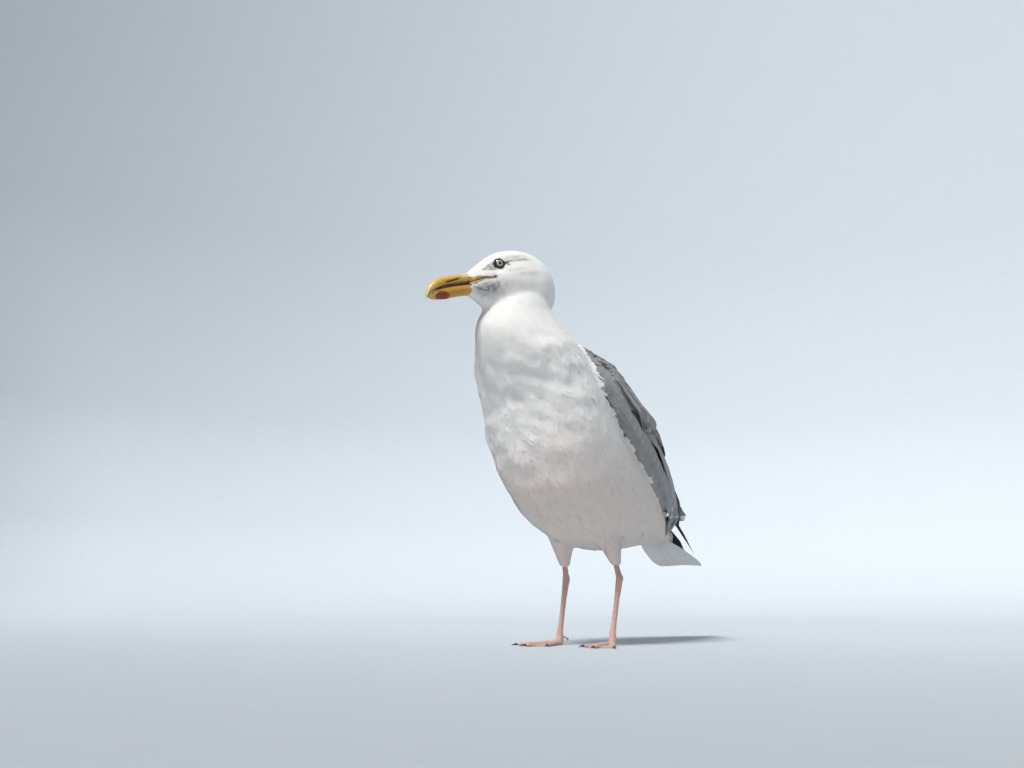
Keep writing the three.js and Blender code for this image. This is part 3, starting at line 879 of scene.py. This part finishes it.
body_length = np.interp(way, WAY, LENGTH)
body_length = np.where(np.char.startswith(owner, "thigh"), np.minimum(body_length, 11), body_length)
body_length *= 0.4 + 0.6 * ease(eye_away, 4.5, 15)
near_grey = cover.smoothed(is_grey * 1.0, 14)
body_length *= 1 - 0.6 * ease(near_grey, 0.02, 0.3)
body_length = cover.smoothed(body_length, 5)
over = over_gape(forward, up)
bare = (over > -0.6 - 0.9 * ease(forward, 18, 32)) & (over < flange(forward) + 0.2) & (forward > 8.5)
bare = (bare & (abs(left) > 3)) | (eye_away < 5.2) | (forward > FEATHER_LINE + 0.9)
bare |= (abs(forward + 6) < 1.8) & (abs(up + 0.8) < 0.9) & (abs(left) > 3)  # the lids' rear corner

places, face, share = scattered(SPACING * body_length * MM, ~is_grey & ~bare, 31)
white = Feathers(places, face, share)
white.length = cover.at(body_length, face, share) * MM
white.half = BREADTH * white.length
white.greyness = np.zeros(len(places))
deep = np.interp(white.way, WAY, DEPTH) * MM
tuft = noise(white.places / MM, 26, 9)
white.turned(0.35 * tuft * ease(white.way, 100, 160))
white = dressed(
    white, sink=0.4 * deep, rise=(0.03 + 0.03 * tuft) * deep, ragged=0.2 - 0.13 * ease(white.way, 90, 200),
    dome=0.03, tip_round=0.45, tip_power=1.7, root_width=0.6, taper=0.3, twist=0.1, roll=0.025,
)
# Pieces of the coat: name, where they start and end along the body, and their vanes' columns, rows and steps.
BODY_PIECES = [
    ("coat_face", 0, 34, 4, 3, 1), ("coat_head", 34, 68, 4, 3, 2), ("coat_nape", 68, 108, 6, 4, 3),
    ("coat_neck", 108, 160, 6, 4, 3), ("coat_breast", 160, 240, 8, 5, 4), ("coat_belly", 240, 330, 8, 5, 5),
    ("coat_vent", 330, 900, 8, 5, 5),
]
for name, low, high, columns, rows, steps in BODY_PIECES:
    part = white.only((white.way >= low) & (white.way < high))
    vanes(name, part, columns, rows, steps, "plumage_white", WHITE_FEATHERS)


# ---- Wings ----
def principal(points):
    """The middle of points, and their long, wide and thin directions."""
    centre = points.mean(0)
    return centre, np.linalg.svd(points - centre, full_matrices=False)[2]


def tiled(count):
    """Large patches side by side on the colour map, for a few large feathers."""
    across = math.ceil(math.sqrt(count))
    which = np.arange(count)
    return np.stack([which % across, which // across], 1) / across + 0.01, 0.95 / across - 0.01


class Wing:
    """A folded wing's outer side, read by shares along its length and down across it."""

    def __init__(self, side):
        sign = SIGNS[side]
        flesh = NODES[f"wing_{side}"][0]
        centre, ways = principal(flesh)
        self.long = ways[0] * np.sign(ways[0][1])
        outward = ways[2] * np.sign(ways[2][0] * sign)
        self.across = unit(np.cross(self.long, outward))
        self.across *= -np.sign(self.across[2])
        whole = np.isin(owner, [f"wing_{side}", f"scapulars_{side}"])
        outer = whole & (cover.normals @ unit(np.array([sign, 0, 0.5])) > 0.1)
        self.points = cover.points[outer]
        ends = (flesh - centre) @ self.long
        self.length = ends.max() - ends.min()
        self.a = ((self.points - centre) @ self.long - ends.min()) / self.length
        b = (self.points - centre) @ self.across
        slices = np.linspace(0.02, 0.98, 25)
        near = [b[abs(self.a - s) < 0.04] for s in slices]
        top = np.interp(self.a, slices, [n.min() for n in near])
        bottom = np.interp(self.a, slices, [n.max() for n in near])
        self.b = (b - top) / np.maximum(bottom - top, 1 * MM)
        self.width = np.median(bottom - top)
        self.in_rows = np.zeros(len(cover.points), bool)
        self.in_rows[outer] = ((self.a > 0.2) & (self.b > 0.44)) | (self.a > 0.78)

    def feathers(self, a, b, length, half, turn, colour, **wanted):
        """Feathers rooted at shares a and b, turned down from the wing's length by turn, in degrees."""
        away = np.hypot((self.a - a[:, None]) * self.length, (self.b - b[:, None]) * self.width)
        places, face, share = cover.nearest(self.points[away.argmin(1)])
        angle = np.radians(np.broadcast_to(turn, a.shape))[:, None]
        heading = np.cos(angle) * self.long + np.sin(angle) * self.across
        made = Feathers(places, face, share, heading)
        made.length = np.broadcast_to(length, a.shape) * MM
        made.half = np.broadcast_to(half, a.shape) * MM
        made.colour = np.broadcast_to(colour, (len(a), 3)) * (1 + 0.04 * rng.uniform(-1, 1, (len(a), 1)))
        return dressed(made, **wanted)


def small_grey(name, wanted, length, seed, **extra):
    """Grey feathers scattered over part of the cover."""
    places, face, share = scattered(0.26 * length * MM, wanted, seed)
    made = Feathers(places, face, share)
    made.length = cover.at(length, face, share) * MM
    made.half = 0.27 * made.length
    made.greyness = cover.at(soft_greyness, face, share)
    vanes(name, dressed(made, **extra), 6, 5, 4, "plumage_grey", GREY_FEATHERS)


soft_greyness = np.maximum(cover.smoothed(greyness, 6), 1)
LIGHT, SHADED_GREY = np.array(GREY), np.array(GREY_WITH_PAINTED_SHADE)
ROW = dict(twist=0.02, vary=0.03, roll=0.0, dome=0.06, ragged=0.03)
# Rows of large feathers: name, count, first and last share along the wing, share down it and its change
# along, length, half width, turn down in degrees, colour, the tips' height and roundness, and material.
ROWS = [
    ("lower_coverts", 15, (0.12, 0.62), (0.93, 0.0), 44, 9, 2, LIGHT * 0.97, 0.1, 0.2, GREY_FEATHERS),
    ("secondaries", 9, (0.56, 0.84), (0.92, -0.02), 62, 9.5, 3, LIGHT * 0.95, 0.1, 0.16, TIPPED_FEATHERS),
    ("greater_coverts", 18, (0.12, 0.78), (0.71, 0.06), 54, 10, 8, LIGHT * 1.03, 0.5, 0.16, GREY_FEATHERS),
    ("median_coverts", 19, (0.06, 0.70), (0.50, 0.05), 38, 9, 10, LIGHT, 0.6, 0.22, GREY_FEATHERS),
    ("scapular_edge", 12, (0.16, 0.70), (0.40, -0.03), 38, 9, 5, SHADED_GREY, 0.9, 0.25, GREY_FEATHERS),
]
TERTIALS = 6
for side, sign in SIGNS.items():
    wing = Wing(side)
    low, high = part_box(f"wing_{side}")
    aft = np.clip((cover.points[:, 1] - low.y) / (high.y - low.y), 0, 1)
    outside = cover.normals @ unit(np.array([sign, 0, 0.5])) > -0.1
    on_wing = (owner == f"wing_{side}") & ~is_scapular & outside & ~wing.in_rows
    mantle_end = np.where(abs(cover.points[:, 0]) < 16 * MM, 0.92, 0.74)
    on_mantle = is_scapular & (cover.points[:, 0] * sign >= 0) & is_grey & (aft < mantle_end)
    small_grey(f"coverts_{side}", on_wing, 15 + 20 * aft, 41, sink=1.2 * MM, rise=0.3 * MM, dome=0.05)
    small_grey(f"mantle_{side}", on_mantle, 16 + 24 * aft, 43, sink=1.2 * MM, rise=0.4 * MM, dome=0.06)
    for name, count, ends, down, length, half, turn, tone, rise, tip_round, material in ROWS:
        a = np.linspace(*ends, count)
        row = wing.feathers(
            a, down[0] + down[1] * a, length, half, turn, tone, sink=1.2 * MM, rise=rise * MM,
            tip_round=tip_round, **ROW,
        )
        vanes(f"{name}_{side}", row, 8, 8, 7, "plumage_grey", material, bake=tiled(count))
    step = np.arange(TERTIALS)
    tertials = wing.feathers(
        0.77 - 0.022 * step, 0.76 - 0.145 * step, 86 - 3.6 * step, 13, 3, SHADED_GREY * 1.05, sink=0.6 * MM,
        rise=(0.9 + 0.35 * step) * MM, tip_round=0.24, tip_power=2.5, **ROW
    )
    vanes(f"tertials_{side}", tertials, 10, 9, 8, "plumage_grey", TIPPED_FEATHERS, bake=tiled(TERTIALS))


# ---- Flight feathers and tail ----
def straight(name, roots, tips, ups, half, slot, material, colour, **wanted):
    """A few long feathers from roots to tips, with the sides given by ups."""
    share = np.linspace(0, 1, 7)[None, :, None]
    spots = roots[:, None] * (1 - share) + tips[:, None] * share
    _, face, shares = cover.nearest(roots)
    made = Feathers(roots, face, shares)
    made.length = np.linalg.norm(tips - roots, axis=1)
    made.half = np.broadcast_to(half, len(roots)) * MM
    made.colour = np.broadcast_to(colour, (len(roots), 3))
    still = dict(sink=0.0, rise=0.0, roll=0.0, twist=0.0, vary=0.0)
    made = dressed(made, rachis=0.35 * MM, ragged=0.01, **still, **wanted)
    ups = np.broadcast_to(ups[:, None], spots.shape)
    return vanes(name, made, 10, 12, None, slot, material, (spots, ups), tiled(len(roots)))


PRIMARIES = 6
for side, sign in SIGNS.items():
    node_name = f"primaries_{side}"
    flesh = NODES[node_name][0]
    centre, (long, wide, thin) = principal(flesh)
    long = long * np.sign(long[1])
    thin = thin * np.sign(thin[0] * sign)
    wide = wide * np.sign(wide[2])
    spread = (flesh - centre) @ long
    broad = (flesh - centre) @ wide
    step = np.arange(PRIMARIES)[:, None]
    tips = centre + long * (spread.max() - 9.5 * MM * step) + wide * (1.1 * MM * (step - 1))
    roots = centre + long * (spread.min() + 22 * MM) + wide * (1.2 * MM * (step - 1))
    lift = thin * (0.55 * MM * (step - 2))
    half = 0.42 * (broad.max() - broad.min()) / MM
    ob = straight(
        node_name + "_vanes", roots + lift, tips + lift, np.repeat(thin[None], PRIMARIES, 0), half,
        "plumage_black", FLIGHT_BLACK, np.array(BLACK), tip_round=0.22, taper=0.5, dome=0.04,
    )
    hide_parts(node_name)

tail_points = NODES["tail"][0]
front, rear = tail_points[:, 1].min(), tail_points[:, 1].max()
root_middle = tail_points[tail_points[:, 1] < front + 12 * MM].mean(0)
tip_middle = tail_points[tail_points[:, 1] > rear - 8 * MM].mean(0)
reach_side = abs(tail_points[:, 0]).max() - 9 * MM  # to the outer feathers' middles
RECTRICES = 12
out = np.linspace(-1, 1, RECTRICES)
ways = unit(tip_middle - root_middle)
tail_up = np.cross(np.array([1.0, 0, 0]), ways)
lower = -np.outer(abs(out) * 3.2 * MM, tail_up)
roots = root_middle + np.outer(out * 0.45 * reach_side, [1, 0, 0]) + lower
tips = tip_middle + np.outer(out * reach_side, [1, 0, 0]) + lower
tips += np.outer((2 - 4 * out**2) * MM, ways)
tail_ups = unit(tail_up + np.outer(0.10 * out, [1, 0, 0]))
ob = straight(
    "rectrices", roots, tips, tail_ups, 9.5, "plumage_white", FLIGHT_WHITE,
    np.outer(1 - 0.07 * (np.arange(RECTRICES) % 2), WHITE), tip_round=0.16, dome=0.05,
)
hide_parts("tail")

# ---- Bill, legs and claws ----
YELLOW = (0.66, 0.37, 0.05)
PALE_HORN = (0.72, 0.56, 0.22)
# The red spot's colour, darkened by painted shade.
RED_WITH_PAINTED_SHADE = (0.22, 0.03, 0.018)
NOSTRIL_SHADE = (0.10, 0.055, 0.03)
PINK = (0.68, 0.44, 0.38)
CLAW = (0.035, 0.03, 0.028)


def hard_part(name, nodes, voxel, rounds, slot, material, shape, colour):
    """Nodes made again as one smooth piece, reshaped and coloured by functions of its points."""
    mesh = remeshed(name, *joined(nodes)[:2], voxel * MM, rounds)
    points = shape(read(mesh.vertices, "co"), read(mesh.vertices, "normal"))
    piece(linked(name, reshaped(mesh, points, colour(points))), slot, material, *nodes)


def mouth_level(forward):
    return np.interp(forward, *np.transpose(MOUTH))


def nostril(points):
    """1 in the slit of a nostril and 0 away from it."""
    forward, up, left = on_head(points)
    slit = bell(up, -10.1 - 0.15 * (forward - 44), 0.85) * band(forward, 42, 46, 56, 60)
    return slit * ease(abs(left), 1.5, 2.5)


def plate_groove(points):
    """1 in the shallow groove under the nostril, between the bill's ridge and its side."""
    forward, up, left = on_head(points)
    line = bell(up, -12.9 - 0.1 * (forward - 44), 0.5) * band(forward, 36, 42, 60, 66)
    return line * ease(abs(left), 1.5, 2.5)


def growth(points, normals):
    """Horn's faint uneven growth."""
    forward = on_head(points)[0]
    rise = 0.015 * np.sin(forward * 2.1 + 0.6 * noise(points / MM, 9, 61)) + 0.02 * noise(points / MM, 5, 62)
    return points + normals * (rise * MM)[:, None]


def upper_shape(points, normals):
    """The upper bill's side hangs a little over the lower one along a sharp edge."""
    forward, up, left = on_head(points)
    over_mouth = up - mouth_level(forward)
    edge = np.exp(-abs(over_mouth) / 0.9) * (1 - ease(forward, 72, 77))
    points = growth(points, normals)
    points = points + np.outer(left * edge * 0.26 * MM, LEFT) - np.outer(0.6 * edge * MM, UP)
    dent = 1.2 * np.minimum(1.4 * nostril(points), 1) + 0.25 * plate_groove(points)
    return points - normals * (dent * MM)[:, None]


def lower_shape(points, normals):
    """The lower bill reaches the upper one, and its tip lies close behind the hook."""
    forward, up, left = on_head(points)
    over_mouth = up - mouth_level(forward)
    edge = np.exp(-abs(over_mouth) / 0.9)
    points = growth(points, normals) + np.outer(left * edge * 0.12 * MM, LEFT)
    reach = ease(forward, 62, 74)
    points = points + np.outer(1.2 * reach * MM, FORWARD)
    return points + np.outer((0.35 * edge + 0.9 * reach * edge) * MM, UP)


def bill_colour(points):
    """Yellow, paler at the tip and root, with dark lines of painted shade along the mouth, the groove and the
    nostrils.
    """
    forward, up, left = on_head(points)
    colour = np.array(YELLOW)
    colour = blend(colour, PALE_HORN, 0.85 * ease(forward, 64, 76) + 0.5 * (1 - ease(forward, 34, 42)))
    colour = blend(colour, PALE_HORN, 0.4 * ease(up, -12, -6))
    colour = blend(colour, (0.78, 0.62, 0.46), 0.75 * ease(up, -11, -7) * (1 - ease(forward, 35, 43)))
    over_mouth = up - mouth_level(forward)
    colour = blend(colour, PALE_HORN, 0.5 * bell(over_mouth, 1.9, 0.9) * ease(forward, 34, 40))
    # Painted shade along the mouth's line, where the bill's halves meet.
    edge = bell(over_mouth, 0, 0.9) * band(forward, 30, 36, 74, 78)
    colour = blend(colour, (0.16, 0.07, 0.015), 0.9 * edge)
    streaks = noise(np.stack([forward * 0.12, up, left], 1), 1.6, 65)
    # The groove's brown is painted shade; the streaks are the horn's own.
    colour = blend(colour, (0.40, 0.19, 0.02), 0.55 * plate_groove(points) + 0.10 * np.clip(streaks, 0, 1))
    # Painted shade in the nostrils' slits.
    colour = blend(colour, NOSTRIL_SHADE, 1.5 * nostril(points))
    return colour * (1 + 0.05 * noise(points / MM, 6, 63) + 0.03 * noise(points / MM, 2.5, 64))[:, None]


def lower_colour(points):
    """The lower bill is darker, painted shade, with the gull's red spot, darkened by painted shade too, near
    its tip.
    """
    forward, up, _ = on_head(points)
    spot = ((forward - 64.8) / 7.8) ** 2 + ((up + 25.2) / 5.2) ** 2
    share = 0.95 * (1 - ease(spot + 0.12 * noise(points / MM, 4, 66), 0.65, 1.15))
    return blend(bill_colour(points) * [0.74, 0.69, 0.74], RED_WITH_PAINTED_SHADE, share)


HORN = body_material("bill_horn", 1100, 0.36, 0.015 * MM, 0.5, 0.03)
LEG_SKIN = body_material("leg_skin", 700, 0.55, 0.25 * MM, 0.4)
CLAW_HORN = body_material("claw_horn", 900, 0.3, 0.02 * MM, 0.5, 0.05)
hard_part("upper_bill_horn", ["upper_bill"], 0.5, 4, "bill", HORN, upper_shape, bill_colour)
hard_part("lower_bill_horn", ["lower_bill"], 0.5, 4, "bill", HORN, lower_shape, lower_colour)


def leg_shape(points, normals):
    """Scutes down the front of the shank, ridges over the toes and a faint unevenness."""
    up = points[:, 2] / MM
    front = ease(-normals[:, 1], 0.1, 0.6)
    saw = (up / 3.3) % 1
    scutes = front * ease(up, 12, 20) * (0.22 * ease(saw, 0, 0.25) - 0.2)
    toes = ease(normals[:, 2], 0.2, 0.8) * (1 - ease(up, 8, 14)) * 0.12 * np.sin(points[:, 1] / MM * 2.4)
    height = scutes + toes + 0.08 * noise(points / MM, 4, 71)
    return points + normals * (height * MM)[:, None]


def leg_colour(points):
    up = points[:, 2] / MM
    joint = bell(up, 80, 9) + 0.6 * bell(up, 14, 7)
    colour = blend(np.array(PINK), (0.55, 0.34, 0.30), 0.5 * joint)
    colour = blend(colour, (0.45, 0.36, 0.32), 0.5 * (1 - ease(up, 0.5, 4)))
    return colour * (1 + 0.07 * noise(points / MM, 8, 72) + 0.05 * noise(points / MM, 3, 73))[:, None]


def claw_shape(points, normals):
    """Claws keep the shape of their solids."""
    return points


def claw_colour(points):
    return np.array(CLAW) * (1 + 0.3 * noise(points / MM, 3, 74))[:, None]


for side in SIGNS:
    hard_part(
        f"leg_{side}", [f"shank_{side}", f"foot_{side}"], 0.9, 2, "leg_skin", LEG_SKIN, leg_shape, leg_colour
    )
claws = [name for name in NODES if name.startswith("claw")]
hard_part("claws", claws, 0.35, 2, "claw", CLAW_HORN, claw_shape, claw_colour)

# ---- Eyes, their lids and the gape ----
IRIS = (0.50, 0.50, 0.43)
LID_SKIN_AND_SHADE = (0.028, 0.028, 0.03)
PUPIL_ANGLE = math.asin(1.45 * MM / EYE_RADIUS)
IRIS_ANGLE = math.asin(3.15 * MM / EYE_RADIUS)


def eye_material():
    """A pale flecked iris between the black pupil and a black rim, under a clear cornea."""
    material, tree = new_material("eye_glass")
    disc = node(tree, "UVMap", uv_map="Disc").outputs[0]
    disc = node(tree, "VectorMath", operation="SUBTRACT", i0=disc, i1=(0.5, 0.5, 0)).outputs[0]
    reach = node(tree, "VectorMath", operation="LENGTH", i0=disc).outputs[1]
    polar = maths(tree, "MULTIPLY", reach, 2 * math.pi)
    fleck = node(tree, "TexNoise", Vector=disc, Scale=60.0, Detail=6.0, Roughness=0.7).outputs[0]
    iris = mixed(tree, eased(tree, fleck, 0.40, 0.62), (0.30, 0.30, 0.26), IRIS)
    rim = eased(tree, polar, IRIS_ANGLE - 0.08, IRIS_ANGLE + 0.02)
    inner = maths(tree, "SUBTRACT", 1.0, eased(tree, polar, PUPIL_ANGLE - 0.02, PUPIL_ANGLE + 0.03))
    iris = mixed(tree, maths(tree, "MAXIMUM", rim, inner), iris, (0.012, 0.011, 0.011))
    finished(tree, iris, Roughness=0.12, Specular_IOR_Level=0.5, Coat_Weight=1.0, Coat_Roughness=0.03)
    return material


EYE = eye_material()
LIDS = body_material("lid_skin", 1500, 0.5, 0.05 * MM)


def spokes(turn, ahead, above):
    """Ways out from an eye's axis, turned from ahead toward above."""
    return np.multiply.outer(np.cos(turn), ahead) + np.multiply.outer(np.sin(turn), above)


def eyeball(side):
    """An eye with its cornea's bulge, and a map that lays it out as a disc round the pupil."""
    centre, axis, ahead, above = eye_frame(side)
    rows, columns = 30, 48
    angle = np.linspace(0, math.pi, rows + 2)[1:-1]
    turn = np.linspace(0, 2 * math.pi, columns, endpoint=False)
    polar = np.concatenate([[0], np.repeat(angle, columns), [math.pi]])
    turns = np.concatenate([[0], np.tile(turn, rows), [0]])
    spoke = spokes(turns, ahead, above)
    reach = EYE_RADIUS * (1 + 0.05 * bell(polar, 0, 0.6))
    points = centre + reach[:, None] * (np.cos(polar)[:, None] * axis + np.sin(polar)[:, None] * spoke)
    disc = 0.5 + polar[:, None] / (2 * math.pi) * np.stack([np.cos(turns), np.sin(turns)], 1)
    ring = 1 + np.arange(columns)
    last = 1 + (rows - 1) * columns + np.arange(columns)
    near_cap = np.stack([np.zeros(columns, int), ring, np.roll(ring, -1)], 1)
    far_cap = np.stack([np.full(columns, len(points) - 1), np.roll(last, -1), last], 1)
    body = grid(rows, columns, True) + 1
    ob = mesh_object(f"eyeball_{side}", points, [near_cap, body[:, ::-1], far_cap], [("Disc", disc)])
    piece(ob, "eye", EYE, f"eye_{side}")


def tube(name, path, across, out, half, high, slot, colour, closed=False):
    """A cord of bare skin along a path, half wide along across and high along out."""
    sides = 12
    count = len(path)
    turn = np.linspace(0, 2 * math.pi, sides, endpoint=False)
    points = (
        path[:, None]
        + (half[:, None] * np.cos(turn))[..., None] * across[:, None]
        + (high[:, None] * np.sin(turn))[..., None] * out[:, None]
    )
    polygons = [grid(count, sides, True, closed)]
    if not closed:
        end = np.arange(sides)[None]
        polygons += [end[:, ::-1], end + (count - 1) * sides]
    colours = np.repeat(np.broadcast_to(colour, (count, 3)), sides, 0)
    piece(mesh_object(name, flat(points), polygons, (), colours), slot, LIDS)


def lower_lip(forward):
    return ease(forward, 18, 32)


# The mouth's edges behind the bill: name, how they grow forward, their height over the mouth's line and their
# half width, each with its change as they grow, and their colours at the bill and at the corner.
LIPS = [
    ("upper", flange, (0.35, 0.5), (0.0, 0.5), (0.56, 0.33, 0.07), (0.30, 0.20, 0.10)),
    ("line", flange, (0.1, 0.0), (0.42, 0.0), (0.07, 0.035, 0.02), (0.035, 0.03, 0.03)),
    ("lower", lower_lip, (-0.9, -0.3), (0.35, 0.5), (0.60, 0.44, 0.18), (0.62, 0.58, 0.5)),
]


def mouth():
    """A dark cord inside the bill, painted shade seen only as a line between its halves."""
    forward = np.linspace(33, 77, 24)
    path = from_head(forward, mouth_level(forward), np.zeros_like(forward))
    half = 0.9 * np.interp(forward, [33, 48, 62, 70, 76], [7.8, 5.9, 4.6, 3.2, 1.2]) * MM
    high = np.interp(forward, [33, 58, 66, 75], [1.2, 1.2, 2.3, 1.4]) * MM
    tube("mouth", path, LEFT[None], UP[None], half, high, "bill", (0.09, 0.045, 0.025))


def lids(side):
    """The ring of lids round an eye, near black from dark skin and painted shade, drawn out to a corner
    at its rear and a smaller one in front.
    """
    centre, axis, ahead, above = eye_frame(side)
    turn = np.linspace(0, 2 * math.pi, 72, endpoint=False)
    corner = bell(turn, math.pi, 0.28) + 0.3 * (bell(turn, 0, 0.25) + bell(turn, 2 * math.pi, 0.25))
    outer = 4.9 + 1.5 * corner + 0.35 * abs(np.cos(turn)) - 0.2 * np.sin(turn)
    inner = 3.9 + 0.35 * corner + 0.15 * abs(np.cos(turn))
    spoke = spokes(turn, ahead, above * np.sign(dot(above, UP)))
    outer_height = LID_LEVEL - 0.25 + 0.2 * (outer - 5)
    inner_height = np.sqrt((EYE_RADIUS / MM + 0.15) ** 2 - inner**2)
    outside = centre + MM * (outer[:, None] * spoke + outer_height[:, None] * axis)
    inside = centre + MM * (inner[:, None] * spoke + inner_height[:, None] * axis)
    path = (outside + inside) / 2
    across = unit(outside - inside)
    out = unit(np.cross(np.roll(path, -1, 0) - np.roll(path, 1, 0), across))
    out = out * np.sign(out @ axis)[:, None]
    half = np.linalg.norm(outside - inside, axis=1) / 2
    high = np.full_like(half, 0.42 * MM)
    tube(f"lids_{side}", path, across, out, half, high, "plumage_white", LID_SKIN_AND_SHADE, closed=True)


def gape(side, sign):
    """The mouth's edges on one side of the face, from the bill back to the mouth's corner."""
    line = np.linspace(0, 1, 60)
    forward, mouth_up = (np.interp(line, np.linspace(0, 1, len(GAPE)), marks) for marks in np.transpose(GAPE))
    for name, growth_of, level, width, pale, dark in LIPS:
        grown = growth_of(forward)
        half = np.maximum(width[0] + width[1] * grown, 0.12)
        up = mouth_up + (level[0] + level[1] * grown)
        starts = from_head(forward, up, np.full_like(up, 60 * sign))
        hits = [cover.tree.ray_cast(p, Vector(-sign * LEFT)) for p in starts.tolist()]
        path = np.array([h[0] for h in hits])
        out = unit(np.array([h[1] for h in hits]))
        across = unit(np.cross(out, np.gradient(path, axis=0)))
        end = np.sqrt(np.clip((1 - line) / 0.15, 0.03, 1))
        colour = blend(np.array(pale), dark, ease(line, 0.15, 0.75))
        high = np.minimum(0.4 + 0.1 * half, 0.55) * end * MM
        tube(f"gape_{name}_{side}", path + out * 0.1 * MM, across, out, half * end * MM, high, "bill", colour)


mouth()
for side, sign in SIGNS.items():
    eyeball(side)
    lids(side)
    gape(side, sign)


# ---- Camera, light and floor ----
def aimed(name, data, place, height):
    """A camera or lamp at a place, turned to a height over the origin."""
    ob = linked(name, data)
    ob.location = place
    ob.rotation_euler = (Vector((0, 0, height)) - ob.location).to_track_quat("-Z", "Y").to_euler()
    return ob


camera_data = bpy.data.cameras.new("camera")
camera_data.lens = 32.87
camera_data.sensor_width = 36
camera_data.shift_x = -0.0811
camera_data.shift_y = 0.0444
bpy.context.scene.camera = aimed("camera", camera_data, (0.525, -0.909, 0.045), 0.24)


def lamp(name, kind, place, power, colour, **settings):
    data = bpy.data.lights.new(name, kind)
    data.energy = power
    data.color = colour
    for key, value in settings.items():
        setattr(data, key, value)
    aimed(name, data, place, 0.22).visible_camera = False


lamp("key", "SUN", (0.1, -1.35, 1.85), 3.7, (1.0, 0.985, 0.96), angle=0.3)
lamp("fill", "SUN", (-1.2, -1.4, 0.9), 0.55, (0.94, 0.97, 1.0), angle=1.2)
low_light = dict(shadow_soft_size=0.35, spot_size=1.0, spot_blend=1.0)
lamp("bounce", "SPOT", (0.75, -1.75, 0.25), 20, (1.0, 0.82, 0.72), **low_light)

BOWL = [(3.2, 0), (4.2, 0.12), (4.8, 0.5), (5.1, 1.2), (5.2, 2.4), (5.2, 5.0)]  # the floor's reach and height
BOWL_SIDES = 64
ring = np.arange(BOWL_SIDES)
turns = 2 * math.pi / BOWL_SIDES * ring
bowl = np.array([[r * math.cos(a), r * math.sin(a), z] for r, z in BOWL for a in turns] + [[0, 0, 0]])
centre_fan = np.stack([ring, np.roll(ring, -1), np.full_like(ring, len(bowl) - 1)], 1)
floor = mesh_object("floor", bowl, [grid(len(BOWL), BOWL_SIDES, True)[:, ::-1], centre_fan])
material, tree = new_material("floor_card")
grain = node(tree, "TexNoise", Vector=node(tree, "TexCoord").outputs["Object"], Scale=40.0, Detail=3.0)
finished(tree, mixed(tree, grain.outputs[0], (0.50, 0.55, 0.60), (0.54, 0.58, 0.62)), Roughness=0.9)
floor.data.materials.append(material)

world = bpy.data.worlds.new("studio")
bpy.context.scene.world = world
world.use_nodes = True
sky = world.node_tree.nodes["Background"]
sky.inputs["Color"].default_value = (0.93, 0.965, 1.0, 1)
sky.inputs["Strength"].default_value = 0.35
bpy.context.scene.view_settings.view_transform = "Standard"
bpy.context.scene.view_settings.exposure = 0.0
